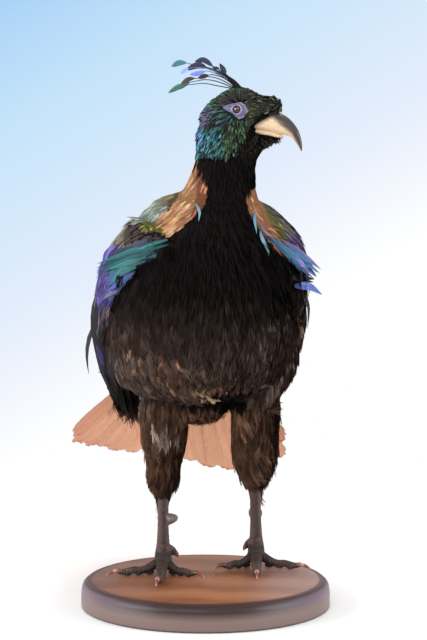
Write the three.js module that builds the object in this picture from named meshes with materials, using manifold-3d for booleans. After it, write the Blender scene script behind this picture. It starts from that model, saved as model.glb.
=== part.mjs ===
// A mounted pheasant (a cock monal) standing on a round turned wooden base, as a museum shows it.
// Millimetres, +Z up. The origin is the centre of the underside of the felt that the base stands on.
// The bird faces -Y, turned a little towards +X. "Right" and "left" are the bird's own.
import * as THREE from "three";
import { mergeVertices } from "three/addons/utils/BufferGeometryUtils.js";
import Module from "manifold-3d";

const wasm = await Module();
wasm.setup();

// ---------------------------------------------------------------- driving dimensions
const GAP = 0.35; // left between pieces that touch
const YAW = 8.5; // degrees that the bird is turned on its base

const FELT = { radius: 134, thickness: 2 };
const BASE = { radius: 138, height: 27, quirk: 1.4, roundWide: 6.5, roundTall: 10, sides: 48 };
const NUT = { bore: 2, acrossCorners: 8.1, thickness: 3.2 };
const WASHER = { radius: 8, thickness: 1 };
const COUNTERBORE = { radius: 10, depth: 8 };

const LEG_WIRE = 1.9; // radii of the wires
const NECK_WIRE = 1.6;
const TAIL_WIRE = 1.3;
const WING_WIRE = 1.1;

const ANKLE_HEIGHT = 13; // centre of the ball of the foot above the base
const BALL_RADIUS = 8.5;
const TARSUS = { side: 5.6, depth: 6.4, rise: 80, back: 32 };
const FEET = {
  right: { ball: [-43, 32], heading: -13, hock: [5, 0], knee: [-40, 50, 262], spurTurn: 0.8 },
  left: { ball: [65, 55], heading: -9, hock: [3, 0], knee: [64, 50, 262], spurTurn: 0.1 },
};
// Each toe: its turn from the heading (outer side positive), its length to the root of the claw,
// its thickness, and its claw's length.
const TOES = [
  { turn: 70, length: 51, thick: 4.6, claw: 13 },
  { turn: 0, length: 60, thick: 5.2, claw: 15 },
  { turn: -62, length: 42, thick: 4.4, claw: 12 },
];
const HALLUX = { turn: -152, length: 20, thick: 4.2, claw: 11, height: 15 };
const SPUR = { height: 56, length: 17, radius: 4.6 };
const THIGH_SIDE = 27; // half width of the feathered leg at its fullest

const BODY_X = -3; // the trunk's middle
const NECK_SEAT = 430; // how low the carved neck sits in the carved body
const SKIN = 13; // thickness of the feathered skin over the carved form
const NECK_SKIN = 12;
const HEAD_SKIN = 7;

const HEAD = { at: [33, -13, 545], yaw: 61.5 };
const EYE = { radius: 6.2, bulge: 3, forward: 8, up: 2 };

const TAIL = { count: 18, length: 250, outerLength: 172, root: 9, width: 34, arch: 31 };
const TAIL_FAN = { half: 45, lean: 11.6, bend: 0.36 }; // degrees, degrees, and how far the feathers curve back
const TAIL_ROOT = [-4, 128.6, 286.7];
const TAIL_DOWN = 39; // degrees below the horizontal
const TAIL_TURN = 18.4; // degrees towards the bird's right
const TAIL_ROLL = 7.5; // degrees that the bird's left side of the tail hangs
const VANE = 0.6; // thickness of a tail feather
const FAN_STEP = 1.9; // each feather lies this far under the one nearer the middle
// Each plume of the crest: its length, and the degrees that it rises and swings to the bird's left.
const CREST = [
  [79, 17, -5],
  [58, 22, 8],
  [46, 34, -8],
  [68, 12, 6],
  [47, 15, -13],
  [34, 36, 9],
  [28, 42, -4],
  [62, 6, -10],
  [76, 1, 2],
];

const FELT_TOP = FELT.thickness;
const BASE_BOTTOM = FELT_TOP + GAP;
const BASE_TOP = BASE_BOTTOM + BASE.height;
const SEAT_TOP = BASE_BOTTOM + COUNTERBORE.depth; // the roof of a counterbore

// ---------------------------------------------------------------- finishes
const finish = (color, roughness, metalness = 0) =>
  new THREE.MeshStandardMaterial({ color, roughness, metalness });
const MATERIALS = {
  walnut: finish("#7a4a31", 0.35),
  felt: finish("#20352a", 0.95),
  steel: finish("#9a9c9e", 0.4, 0.9),
  foam: finish("#d9c79a", 0.85),
  breast: finish("#1b1312", 0.8),
  neck: finish("#c07a3c", 0.6),
  crown: finish("#1c5a4a", 0.4),
  wing: finish("#3a3f8c", 0.4),
  quill: finish("#241b1a", 0.55),
  tail: finish("#c9835b", 0.75),
  leg: finish("#6b5f60", 0.6),
  horn: finish("#b59a78", 0.4),
  bareSkin: finish("#6f7fc0", 0.55),
  glass: finish("#3a1a10", 0.05),
};

// ---------------------------------------------------------------- solids
const V = (x, y, z) => new THREE.Vector3(x, y, z);
const UP = V(0, 0, 1);
const FORWARD = V(0, -1, 0);
const radians = THREE.MathUtils.degToRad;

function solid(geometry) {
  const bare = geometry.clone();
  for (const name of ["normal", "uv"]) bare.deleteAttribute(name);
  const merged = mergeVertices(bare, 1e-4);
  return new wasm.Manifold(
    new wasm.Mesh({
      numProp: 3,
      vertProperties: merged.attributes.position.array,
      triVerts: new Uint32Array(merged.index.array),
    }),
  );
}

function geometryOf(made) {
  const mesh = made.getMesh();
  const geometry = new THREE.BufferGeometry();
  geometry.setAttribute("position", new THREE.BufferAttribute(mesh.vertProperties, 3));
  geometry.setIndex(new THREE.BufferAttribute(mesh.triVerts, 1));
  return geometry;
}

const cut = (made, ...tools) => tools.reduce((rest, tool) => rest.subtract(tool), made);
const join = (first, ...others) => others.reduce((all, other) => all.add(other), first);

// A closed limb: a capped cylinder whose rings ride on a smooth spine. Each station is
// [x, y, z, half side, half depth]. A level limb keeps its rings horizontal. grow swells it all round.
function loft(stations, { sides = 12, steps = 8, front = FORWARD, level = false, grow = 0 } = {}) {
  const spine = new THREE.CatmullRomCurve3(stations.map(([x, y, z]) => V(x, y, z)));
  const sizes = new THREE.CatmullRomCurve3(stations.map(([, , , side, depth]) => V(side, depth, 0)));
  const tube = new THREE.CylinderGeometry(1, 1, 1, sides, steps);
  const place = tube.attributes.position;
  for (let i = 0; i < place.count; i++) {
    const t = Math.min(1, Math.max(0, place.getY(i) + 0.5));
    const along = level ? UP.clone() : spine.getTangent(t);
    const depth = front.clone().addScaledVector(along, -front.dot(along)).normalize();
    const side = along.clone().cross(depth);
    const size = sizes.getPoint(t);
    const end = t === 0 ? -1 : t === 1 ? 1 : 0;
    const at = spine
      .getPoint(t)
      .addScaledVector(side, place.getX(i) * (size.x + grow))
      .addScaledVector(depth, place.getZ(i) * (size.y + grow))
      .addScaledVector(along, end * grow);
    place.setXYZ(i, at.x, at.y, at.z);
  }
  return solid(tube);
}

// A bent plate: a thin box whose corners are sent through at(u, v, layer), with u, v and layer from 0 to 1.
function plate(at, { lengthwise = 6, across = 3 } = {}) {
  const box = new THREE.BoxGeometry(1, 1, 1, lengthwise, across, 1);
  const place = box.attributes.position;
  for (let i = 0; i < place.count; i++) {
    const to = at(place.getX(i) + 0.5, place.getY(i) + 0.5, place.getZ(i) + 0.5);
    place.setXYZ(i, to.x, to.y, to.z);
  }
  return solid(box);
}

// A turned piece about +Z, from a closed outline of [radius, height] points.
function turned(outline, sides = 32) {
  const profile = outline.map(([radius, height]) => new THREE.Vector2(radius, height));
  const made = solid(new THREE.LatheGeometry(profile, sides).rotateX(Math.PI / 2));
  return made;
}

const drilled = (x, y, radius, low, high, sides = 12) =>
  solid(new THREE.CylinderGeometry(radius, radius, high - low, sides).rotateX(Math.PI / 2).translate(x, y, (low + high) / 2));

// A value read off a list of [place, value] pairs, straight between them.
function along(pairs, place) {
  const next = pairs.findIndex(([at]) => at > place);
  if (next === 0) return pairs[0][1];
  if (next < 0) return pairs.at(-1)[1];
  const [from, a] = pairs[next - 1];
  const [to, b] = pairs[next];
  return a + ((b - a) * (place - from)) / (to - from);
}

const specimen = new THREE.Group();
specimen.rotation.z = radians(YAW);

function node(name, made, material) {
  const mesh = new THREE.Mesh(geometryOf(made), material);
  mesh.name = name;
  specimen.add(mesh);
}

// ---------------------------------------------------------------- the trunk's shape
// Each row: height, sideways shift, half width, front, back.
const TRUNK = [
  [227, 2, 48, -4, 66],
  [238, 1, 76, -30, 92],
  [256, 0, 97, -56, 110],
  [282, 0, 106, -76, 120],
  [312, 0, 110, -88, 119],
  [344, 0, 108, -92, 112],
  [376, 1, 103, -88, 100],
  [404, 4, 89, -76, 84],
  [430, 9, 67, -58, 66],
  [452, 16, 46, -44, 44],
];
const trunkStations = (inset) =>
  TRUNK.map(([z, shift, half, front, back]) => [
    BODY_X + shift,
    (front + back) / 2,
    z,
    half - inset,
    (back - front) / 2 - inset,
  ]);

const trunk = (grow = 0) => loft(trunkStations(0), { sides: 24, steps: 12, level: true, grow });

// The side of the trunk at (y, z): how far from the middle a wing lies that hugs it. Below the
// flank the wing hangs straight down, and behind it the wing runs straight back.
const FLANK_LOW = 262;
const FLANK_BACK = 0.78;
function flank(y, z) {
  const rows = TRUNK.map(([height, , half, front, back]) => [height, half, front, back]);
  const at = (column) => along(rows.map((row) => [row[0], row[column]]), Math.max(z, FLANK_LOW));
  const middle = (at(2) + at(3)) / 2;
  const reach = Math.min(FLANK_BACK, Math.max(-0.97, (y - middle) / ((at(3) - at(2)) / 2)));
  return at(1) * Math.sqrt(1 - reach * reach);
}

// ---------------------------------------------------------------- legs
const SIDES = { right: -1, left: 1 };
const foot = {};
for (const [side, turn] of Object.entries(SIDES)) {
  const { ball, heading, hock, knee, spurTurn } = FEET[side];
  const [x, y] = ball;
  foot[side] = {
    turn,
    ball: V(x, y, BASE_TOP + ANKLE_HEIGHT),
    heading: radians(heading),
    hock: V(x + hock[0], y + TARSUS.back + hock[1], BASE_TOP + ANKLE_HEIGHT + TARSUS.rise),
    knee: V(...knee),
    spurTurn,
  };
}

// A direction on the base, turned from the foot's heading towards its outer side.
function toward(leg, degrees) {
  const angle = leg.heading + leg.turn * radians(degrees);
  return V(Math.sin(angle), -Math.cos(angle), 0);
}

// The middle line of a toe: it arches down from the ball and runs out along the base.
const toePoint = (leg, toe, share, height) =>
  V(leg.ball.x, leg.ball.y, BASE_TOP + height).addScaledVector(toward(leg, toe.turn), toe.length * share);

// The toe and its claw in one run, because a dried foot is one piece.
function toeStations(leg, toe) {
  const clawShare = toe.claw / toe.length;
  const rows = [
    [0, ANKLE_HEIGHT + 1, 1.25],
    [0.3, ANKLE_HEIGHT - 2, 1.1],
    [0.62, 7.5, 1],
    [0.98, toe.thick + 0.6, 0.86],
    [1 + clawShare * 0.5, toe.thick + 0.6, 0.5],
    [1 + clawShare, 1.4, 0.16],
  ];
  return rows.map(([share, height, size]) => {
    const at = toePoint(leg, toe, share, height + GAP);
    return [at.x, at.y, at.z, toe.thick * size, toe.thick * size];
  });
}

function halluxStations(leg) {
  const out = toward(leg, HALLUX.turn);
  const rows = [
    [0, HALLUX.height + 4, 1.15],
    [0.55, HALLUX.height + 2, 1],
    [1, HALLUX.height - 4, 0.8],
    [1.3, HALLUX.height - 9, 0.5],
    [1.38, HALLUX.height - 13, 0.15],
  ];
  return rows.map(([share, height, size]) => [
    leg.ball.x + out.x * HALLUX.length * share,
    leg.ball.y + out.y * HALLUX.length * share,
    BASE_TOP + height,
    HALLUX.thick * size,
    HALLUX.thick * size,
  ]);
}

function tarsusStations(leg) {
  const { ball, hock } = leg;
  const rows = [
    [0, 1.25],
    [0.18, 1.05],
    [0.6, 1],
    [0.86, 1.12],
    [1, 1.3],
  ];
  return rows.map(([share, size]) => {
    const at = ball.clone().lerp(hock, share);
    return [at.x, at.y, at.z, TARSUS.side * size, TARSUS.depth * size];
  });
}

const shank = (leg, grow = 0) => loft(tarsusStations(leg), { sides: 10, steps: 6, grow });

function wholeFoot(leg, grow = 0) {
  const { ball } = leg;
  const pad = solid(new THREE.SphereGeometry(BALL_RADIUS + grow, 10, 7).translate(ball.x, ball.y, ball.z));
  const toes = TOES.map((toe) => loft(toeStations(leg, toe), { sides: 8, steps: 7, front: UP, grow }));
  const back = loft(halluxStations(leg), { sides: 6, steps: 6, front: UP, grow });
  return join(shank(leg, grow), pad, back, ...toes);
}

// The wire that carries the leg: straight up through the base, then up the shank and into the form.
function legWire(leg, grow = 0) {
  const { ball, hock, knee } = leg;
  const top = V(knee.x, knee.y - 6, knee.z + 34);
  const line = [
    V(ball.x, ball.y, BASE_BOTTOM + 1),
    V(ball.x, ball.y, BASE_TOP),
    V(ball.x, ball.y, BASE_TOP + ANKLE_HEIGHT / 2),
    ball.clone().lerp(hock, 0.2),
    ball.clone().lerp(hock, 0.6),
    hock,
    knee,
    top,
  ];
  const radius = LEG_WIRE;
  return loft(line.map(({ x, y, z }) => [x, y, z, radius, radius]), { sides: 6, steps: 18, grow });
}

function thigh(leg) {
  const { hock, knee } = leg;
  const low = hock.clone().lerp(leg.ball, 0.13);
  const rows = [
    [0, 0.32],
    [0.1, 0.5],
    [0.25, 0.66],
    [0.48, 0.96],
    [0.62, 1],
    [0.78, 0.84],
    [1, 0.6],
  ];
  const top = V(knee.x, knee.y, knee.z - 2);
  const stations = rows.map(([share, size]) => {
    const at = low.clone().lerp(top, share);
    return [at.x, at.y, at.z, THIGH_SIDE * size, THIGH_SIDE * size * 1.12];
  });
  return loft(stations, { sides: 12, steps: 8 });
}

// ---------------------------------------------------------------- neck and head
const NECK = [
  [BODY_X + 17, -1, 453.4, 45, 43.5],
  [17, -5, 474, 37, 38],
  [21, -9, 496, 34, 35],
  [23, -12, 520, 32, 34],
  [22, -13, 534, 28, 29.5],
];
const neckInset = (inset) => NECK.map(([x, y, z, side, depth]) => [x, y, z, side - inset, depth - inset]);

// Head rows, from the nape to the brow: back, height of the middle, half width, half height.
const SKULL = [
  [37, -17, 8, 10],
  [32, -12, 18, 19],
  [19, -6, 23, 22.5],
  [3, -2, 24.5, 27.5],
  [-9, -1, 24, 27.5],
  [-22, 0, 21, 23],
  [-35, -3, 15, 17],
  [-43, -6, 9, 11],
];
const headMatrix = new THREE.Matrix4()
  .makeRotationZ(radians(HEAD.yaw))
  .setPosition(...HEAD.at);

const skullStations = (inset = 0) => SKULL.map(([y, z, side, height]) => [0, y, z, side - inset, height - inset]);
const onHead = (made) => made.transform(headMatrix.elements);
const skullLoft = (inset, grow, sides = 14, steps = 9) =>
  loft(skullStations(inset), { sides, steps, front: UP, grow });

// The bill: forward, height, half width, half height.
const UPPER_BILL = [
  [30, -3, 9.5, 11],
  [46, -7, 8, 10.5],
  [57, -13, 6, 8],
  [66, -21.5, 4, 5.6],
  [71.5, -31, 2.4, 3.2],
  [73.5, -38, 0.7, 0.9],
];
const LOWER_BILL = [
  [26, -19, 8.5, 4.4],
  [38, -21.5, 7, 4],
  [48, -24.5, 4.8, 2.8],
  [55, -26.5, 1.6, 0.9],
];
const billLoft = (rows, grow = 0) =>
  loft(rows.map(([forward, z, side, height]) => [0, -forward, z, side, height]), {
    sides: 10,
    steps: 9,
    front: UP,
    grow,
  });

// The bare skin round an eye: a kite with its long point towards the nape. Forward and up from the eye.
const BARE_SKIN = [
  [-19, -1],
  [-8, -6],
  [1, -10],
  [9, -8],
  [13, -1],
  [8, 7],
  [2, 9],
  [-8, 5],
];

function bareSkinPrism(turn) {
  const outline = new THREE.Shape(
    BARE_SKIN.map(([forward, up]) => new THREE.Vector2(-(EYE.forward + forward), EYE.up + up)),
  );
  const prism = new THREE.ExtrudeGeometry(outline, { depth: 40, bevelEnabled: false });
  // The outline lies in Y and Z, and the prism runs out along X.
  prism.applyMatrix4(new THREE.Matrix4().makeBasis(V(0, 1, 0), V(0, 0, 1), V(1, 0, 0)));
  if (turn < 0) prism.translate(-40, 0, 0);
  return solid(prism);
}

const EYE_SIDE = 23.2; // how far out the front of an eye stands
function glassEye(turn, grow = 0) {
  const radius = EYE.radius + grow;
  const dome = Array.from({ length: 5 }, (_, i) => {
    const angle = (i / 4) * (Math.PI / 2);
    return [radius * Math.cos(angle), (EYE.bulge + grow) * Math.sin(angle)];
  });
  const outline = [[0, -EYE.bulge - grow], [radius * 0.8, -EYE.bulge - grow], ...dome];
  outline[outline.length - 1][0] = 0;
  const eye = turned(outline, 14);
  const out = new THREE.Matrix4().makeRotationY((turn * Math.PI) / 2).setPosition(
    turn * EYE_SIDE,
    -EYE.forward,
    EYE.up,
  );
  return eye.transform(out.elements);
}

// ---------------------------------------------------------------- tail
const tailAxis = V(0, Math.cos(radians(TAIL_DOWN)), -Math.sin(radians(TAIL_DOWN))).applyAxisAngle(
  UP,
  radians(TAIL_TURN),
);
const tailSide = tailAxis.clone().cross(UP).normalize().applyAxisAngle(tailAxis, radians(TAIL_ROLL));
const fanUp = tailSide.clone().cross(tailAxis).normalize();
const tailRoot = V(...TAIL_ROOT);

// The line of a tail feather leaves the root at a wide angle and curves back towards the tail's axis.
// It gives how far back, how far sideways, and which way the feather points at a share of its length.
function featherLine(share, reach) {
  const pieces = 24;
  let back = 0;
  let across = 0;
  let angle = 0;
  for (let i = 0; i <= pieces; i++) {
    angle = radians(share * TAIL_FAN.half * (1 + TAIL_FAN.bend * (0.5 - (reach * i) / pieces)) + TAIL_FAN.lean);
    if (i === 0) continue;
    back += (Math.cos(angle) * reach) / pieces;
    across += (Math.sin(angle) * reach) / pieces;
  }
  return { back, across, angle };
}

// A tail feather, from a narrow quill to a broad tip. The whole fan arches down at its sides.
function tailFeather(index) {
  const fromMiddle = index - (TAIL.count - 1) / 2;
  const share = fromMiddle / ((TAIL.count - 1) / 2);
  const length = THREE.MathUtils.lerp(TAIL.length, TAIL.outerLength, share * share);
  const layer = fromMiddle === -0.5 ? 0 : Math.abs(fromMiddle) + 0.5;
  return plate(
    (u, v, thickness) => {
      const line = featherLine(share, (TAIL.root + (length - TAIL.root) * u) / length);
      const round = u > 0.9 ? Math.sqrt(1 - ((u - 0.9) / 0.1) ** 2 * 0.6) : 1;
      const aside = (0.5 - v) * TAIL.width * Math.min(1, 0.04 + 1.2 * u) * round;
      const across = line.across * length + aside * Math.cos(line.angle);
      const back = line.back * length - aside * Math.sin(line.angle);
      const up = thickness * VANE - layer * FAN_STEP - TAIL.arch * (across / 100) ** 2;
      return byTail(back, up).addScaledVector(tailSide, across);
    },
    { lengthwise: 7, across: 2 },
  );
}

// A point by the tail: along the fan, above it.
const byTail = (reach, above) => tailRoot.clone().addScaledVector(tailAxis, reach).addScaledVector(fanUp, above);

function tailCoverts(from, to) {
  const rows = [
    [from, 34, 15],
    [from.clone().lerp(to, 0.5), 36, 8],
    [to, 26, 2.5],
  ];
  return loft(
    rows.map(([at, side, depth]) => [at.x, at.y, at.z, side, depth]),
    { sides: 12, steps: 6, front: fanUp },
  );
}

// ---------------------------------------------------------------- wings
// The edges of a folded wing, as [y, z] pairs: its shoulder, where the coverts end, where the
// secondaries end, and its lower edge.
const SHOULDER = [[-70, 402], [-40, 424], [0, 432], [50, 416], [90, 374], [116, 330]];
const COVERT_EDGE = [[-70, 392], [-38, 356], [20, 332], [114, 318], [128, 290], [138, 262]];
const SECONDARY_EDGE = [[-38, 350], [-8, 314], [50, 272], [138, 252]];
const LOWER_EDGES = {
  right: [[-8, 306], [40, 240], [84, 206], [116, 206], [140, 228]],
  left: [[-8, 306], [40, 258], [90, 232], [126, 230], [140, 240]],
};

function wingPlate(turn, [yFront, yBack], upper, lower, thick) {
  return plate(
    (u, v, layer) => {
      const y = yFront + (yBack - yFront) * u;
      const high = along(upper, y) - 2 * GAP;
      const low = along(lower, y) + GAP;
      const z = low + (high - low) * v;
      const out = flank(y, z) + 2 * GAP + thick * (turn > 0 ? layer : 1 - layer);
      return V(BODY_X + turn * out, y, z);
    },
    { lengthwise: 11, across: 4 },
  );
}

const shoulderAt = (turn) => V(BODY_X + turn * 52, -6, 386);
function wingWire(turn, grow = 0) {
  const line = [
    shoulderAt(turn),
    V(BODY_X + turn * 84, 4, 384),
    V(BODY_X + turn * (flank(10, 380) + 4.5), 10, 380),
  ];
  return loft(line.map(({ x, y, z }) => [x, y, z, WING_WIRE, WING_WIRE]), { sides: 6, steps: 6, grow });
}

// ---------------------------------------------------------------- crest
// Bare shafts that rise from the crown, sweep back, and end in small paddles.
function crest() {
  const root = V(0, -12, 24);
  const plumes = CREST.map(([length, rise, swing], i) => {
    const up = radians(rise);
    const aside = radians(swing);
    const out = V(Math.sin(aside) * Math.cos(up), Math.cos(aside) * Math.cos(up), Math.sin(up));
    const rows = [
      [-2, 1.4, 1.4],
      [0.3, 0.9, 0.9],
      [0.66, 0.8, 0.8],
      [0.84, 3.6, 1],
      [1, 0.6, 0.6],
    ];
    const stations = rows.map(([reach, side, depth], row) => {
      const at = root.clone().addScaledVector(out, row ? reach * length : reach);
      at.z += row ? 16 * reach * (1 - reach) : 0;
      return [at.x, at.y, at.z, side, depth];
    });
    return loft(stations, { sides: 4, steps: 6, front: UP });
  });
  const knot = solid(new THREE.SphereGeometry(3.4, 8, 6).translate(root.x, root.y, root.z));
  return join(knot, ...plumes);
}

// ---------------------------------------------------------------- cutters shared by several pieces
const wires = (grow) => [
  ...Object.values(foot).map((leg) => legWire(leg, grow)),
  ...Object.values(SIDES).map((turn) => wingWire(turn, grow)),
  neckWire(grow),
  tailWire(grow),
];
function neckWire(grow = 0) {
  const line = [V(0, 4, 404), V(12, 0, 450), V(21, -9, 496), V(HEAD.at[0] - 3, HEAD.at[1] + 3, 536)];
  return loft(line.map(({ x, y, z }) => [x, y, z, NECK_WIRE, NECK_WIRE]), { sides: 8, steps: 12, grow });
}
function tailWire(grow = 0) {
  const line = [V(BODY_X, 82, 300), V(BODY_X, 112, 280), byTail(-4, 0)];
  return loft(line.map(({ x, y, z }) => [x, y, z, TAIL_WIRE, TAIL_WIRE]), { sides: 6, steps: 8, grow });
}
const neckCore = (grow = 0) => {
  const rows = neckInset(NECK_SKIN + GAP).map((row) => [...row]);
  rows[0][2] = NECK_SEAT;
  rows.at(-1)[2] = 522;
  rows.at(-1)[3] = 13;
  rows.at(-1)[4] = 13;
  return loft(rows, { sides: 12, steps: 6, level: true, grow });
};

// ---------------------------------------------------------------- the base and its fasteners
function baseDisc() {
  const { radius, quirk, roundWide, roundTall, sides } = BASE;
  const shoulder = Array.from({ length: 6 }, (_, i) => {
    const angle = (i / 5) * (Math.PI / 2);
    return [
      radius - roundWide + roundWide * Math.cos(angle),
      BASE_TOP - quirk - roundTall + roundTall * Math.sin(angle),
    ];
  });
  const flatRadius = radius - roundWide;
  const outline = [
    [0, BASE_BOTTOM],
    [radius - 1, BASE_BOTTOM],
    [radius, BASE_BOTTOM + 1],
    ...shoulder,
    [flatRadius - 0.6, BASE_TOP - quirk],
    [flatRadius - 0.6, BASE_TOP - 0.5],
    [flatRadius - 1.4, BASE_TOP],
    [0, BASE_TOP],
  ];
  const holes = Object.values(foot).flatMap(({ ball }) => [
    drilled(ball.x, ball.y, LEG_WIRE + GAP, BASE_BOTTOM - 1, BASE_TOP + 1, 10),
    drilled(ball.x, ball.y, COUNTERBORE.radius, BASE_BOTTOM - 1, SEAT_TOP, 16),
  ]);
  return cut(turned(outline, sides), ...holes);
}

node("felt_pad", drilled(0, 0, FELT.radius, 0, FELT_TOP, 56), MATERIALS.felt);
node("base_disc", baseDisc(), MATERIALS.walnut);

const trunkGrown = trunk(GAP);
const trunkOuter = trunk();
const headGrown = onHead(skullLoft(0, GAP));

for (const [side, leg] of Object.entries(foot)) {
  const { x, y } = leg.ball;
  const hole = drilled(x, y, LEG_WIRE + GAP, BASE_BOTTOM - 1, BASE_TOP + 1, 10);
  const washerLow = SEAT_TOP - GAP - WASHER.thickness;
  const nutLow = washerLow - GAP - NUT.thickness;
  node(`${side}_leg_wire`, legWire(leg), MATERIALS.steel);
  node(
    `${side}_leg_washer`,
    cut(drilled(x, y, WASHER.radius, washerLow, SEAT_TOP - GAP, 14), hole),
    MATERIALS.steel,
  );
  const nut = drilled(x, y, NUT.acrossCorners / 2 + NUT.bore / 2, nutLow, washerLow - GAP, 6);
  node(`${side}_leg_nut`, cut(nut, hole), MATERIALS.steel);
  node(`${side}_foot`, cut(wholeFoot(leg), legWire(leg, GAP)), MATERIALS.leg);
  const spurFrom = leg.ball.clone().lerp(leg.hock, (SPUR.height - ANKLE_HEIGHT) / TARSUS.rise);
  const spurOut = V(-leg.turn * leg.spurTurn, 0.6, 0).normalize();
  const spurRows = [
    [2, 0, 1],
    [9, 0, 0.75],
    [SPUR.length, 3, 0.2],
  ];
  const spur = loft(
    spurRows.map(([reach, rise, size]) => {
      const at = spurFrom.clone().addScaledVector(spurOut, reach);
      return [at.x, at.y, at.z - rise, SPUR.radius * size, SPUR.radius * size];
    }),
    { sides: 8, steps: 5, front: UP },
  );
  node(`${side}_spur`, cut(spur, shank(leg, GAP)), MATERIALS.horn);
  node(
    `${side}_thigh`,
    cut(thigh(leg), trunkGrown, shank(leg, GAP), legWire(leg, GAP)),
    MATERIALS.breast,
  );
}

// ---------------------------------------------------------------- the carved form and its skin
const formStations = trunkStations(SKIN).slice(1);
const bodyForm = (grow = 0) => loft(formStations, { sides: 12, steps: 7, level: true, grow });
const neckSeat = neckCore(GAP);
node("body_form", cut(bodyForm(), neckSeat, ...wires(GAP)), MATERIALS.foam);
node("body_skin", cut(trunkOuter, bodyForm(GAP), neckSeat, ...wires(GAP)), MATERIALS.breast);
node("neck_form", cut(neckCore(), neckWire(GAP), headGrown), MATERIALS.foam);
node("neck_wire", neckWire(), MATERIALS.steel);

const neckOuter = loft(NECK, { sides: 16, steps: 7, level: true });
node("neck_skin", cut(neckOuter, neckSeat, trunkGrown, headGrown), MATERIALS.neck);

// ---------------------------------------------------------------- the head
const skullCore = (grow = 0) => skullLoft(HEAD_SKIN, grow, 10, 6);
const upper = billLoft(UPPER_BILL);
const upperGrown = billLoft(UPPER_BILL, GAP);
const lower = cut(billLoft(LOWER_BILL), upperGrown);
const lowerGrown = billLoft(LOWER_BILL, GAP);
const eyes = Object.values(SIDES).map((turn) => glassEye(turn, GAP));
const neckWireGrown = neckWire(GAP);

node(
  "head_form",
  cut(onHead(cut(skullCore(), upperGrown, lowerGrown, ...eyes)), neckWireGrown),
  MATERIALS.foam,
);
node(
  "head_skin",
  cut(onHead(cut(skullLoft(0, 0), skullCore(GAP), upperGrown, lowerGrown, ...eyes)), neckWireGrown),
  MATERIALS.crown,
);
node("upper_bill", onHead(upper), MATERIALS.horn);
node("lower_bill", onHead(lower), MATERIALS.horn);
for (const [side, turn] of Object.entries(SIDES)) {
  node(`${side}_glass_eye`, onHead(glassEye(turn)), MATERIALS.glass);
  const ring = skullLoft(0, 1.8).intersect(bareSkinPrism(turn));
  node(
    `${side}_eye_skin`,
    onHead(cut(ring, skullLoft(0, GAP), glassEye(turn, GAP))),
    MATERIALS.bareSkin,
  );
}
node("crest", onHead(cut(crest(), skullLoft(0, GAP))), MATERIALS.crown);

// ---------------------------------------------------------------- wings
for (const [side, turn] of Object.entries(SIDES)) {
  const wire = wingWire(turn, GAP);
  node(`${side}_wing_wire`, wingWire(turn), MATERIALS.steel);
  node(
    `${side}_wing_coverts`,
    cut(wingPlate(turn, [-70, 114], SHOULDER, COVERT_EDGE, 9), wire, trunkGrown),
    MATERIALS.wing,
  );
  node(
    `${side}_secondaries`,
    cut(wingPlate(turn, [-38, 136], COVERT_EDGE, SECONDARY_EDGE, 7), trunkGrown),
    MATERIALS.wing,
  );
  node(
    `${side}_primaries`,
    cut(wingPlate(turn, [-8, 138], SECONDARY_EDGE, LOWER_EDGES[side], 5), trunkGrown),
    MATERIALS.quill,
  );
}

// ---------------------------------------------------------------- tail
node("tail_wire", tailWire(), MATERIALS.steel);
const block = loft(
  [byTail(-14, -6), byTail(-1, -6)].map(({ x, y, z }) => [x, y, z, 17, 9]),
  { sides: 12, steps: 2, front: fanUp },
);
node("tail_block", cut(block, trunkGrown, tailWire(GAP)), MATERIALS.foam);
node(
  "upper_tail_coverts",
  cut(tailCoverts(byTail(-6, 26), byTail(96, 10)), trunkGrown, block),
  MATERIALS.wing,
);
node(
  "under_tail_coverts",
  cut(tailCoverts(byTail(0, -36), byTail(84, -24)), trunkGrown, block),
  MATERIALS.breast,
);
for (let i = 0; i < TAIL.count; i++) {
  node(`tail_feather_${String(i + 1).padStart(2, "0")}`, tailFeather(i), MATERIALS.tail);
}

const part = new THREE.Group();
part.add(specimen);

export default part;
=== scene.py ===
# A mounted cock monal pheasant on a turned walnut base: its plumage, bill, eyes, feet, crest and base.
# Lengths in the tables are millimetres in the bird's own frame: it faces -Y, and its left is +X.
import math
import random

import bmesh
import bpy
import numpy as np
from mathutils import Matrix, Vector, noise
from mathutils.bvhtree import BVHTree


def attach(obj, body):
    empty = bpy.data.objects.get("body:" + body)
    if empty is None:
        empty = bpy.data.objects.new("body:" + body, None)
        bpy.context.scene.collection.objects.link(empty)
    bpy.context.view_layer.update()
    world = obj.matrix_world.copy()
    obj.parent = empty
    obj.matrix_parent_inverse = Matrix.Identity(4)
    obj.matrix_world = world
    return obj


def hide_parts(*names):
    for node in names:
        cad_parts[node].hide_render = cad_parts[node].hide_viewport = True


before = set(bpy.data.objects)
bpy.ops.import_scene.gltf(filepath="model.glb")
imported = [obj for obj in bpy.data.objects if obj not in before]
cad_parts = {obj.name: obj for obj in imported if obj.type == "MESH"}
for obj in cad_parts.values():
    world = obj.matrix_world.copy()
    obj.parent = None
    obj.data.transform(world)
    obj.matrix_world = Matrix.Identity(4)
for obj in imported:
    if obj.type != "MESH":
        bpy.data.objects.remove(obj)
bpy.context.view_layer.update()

MM = 0.001
YAW = math.radians(8.5)
UP = Vector((0, 0, 1))
FORWARD = Vector((0, -1, 0))
BIRD = Matrix.Rotation(YAW, 4, "Z") @ Matrix.Scale(MM, 4)
TO_BIRD = BIRD.inverted()
HEAD_AT = Vector((33, -13, 545))
HEAD = BIRD @ Matrix.Translation(HEAD_AT) @ Matrix.Rotation(math.radians(61.5), 4, "Z")
BASE_TOP = 29.35
draw = random.Random(7)


def linear(red, green, blue):
    """A colour given as 0 to 255 on a screen, as the light it stands for."""
    return tuple(
        (c / 255 / 12.92) if c <= 10 else ((c / 255 + 0.055) / 1.055) ** 2.4 for c in (red, green, blue)
    )


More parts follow.
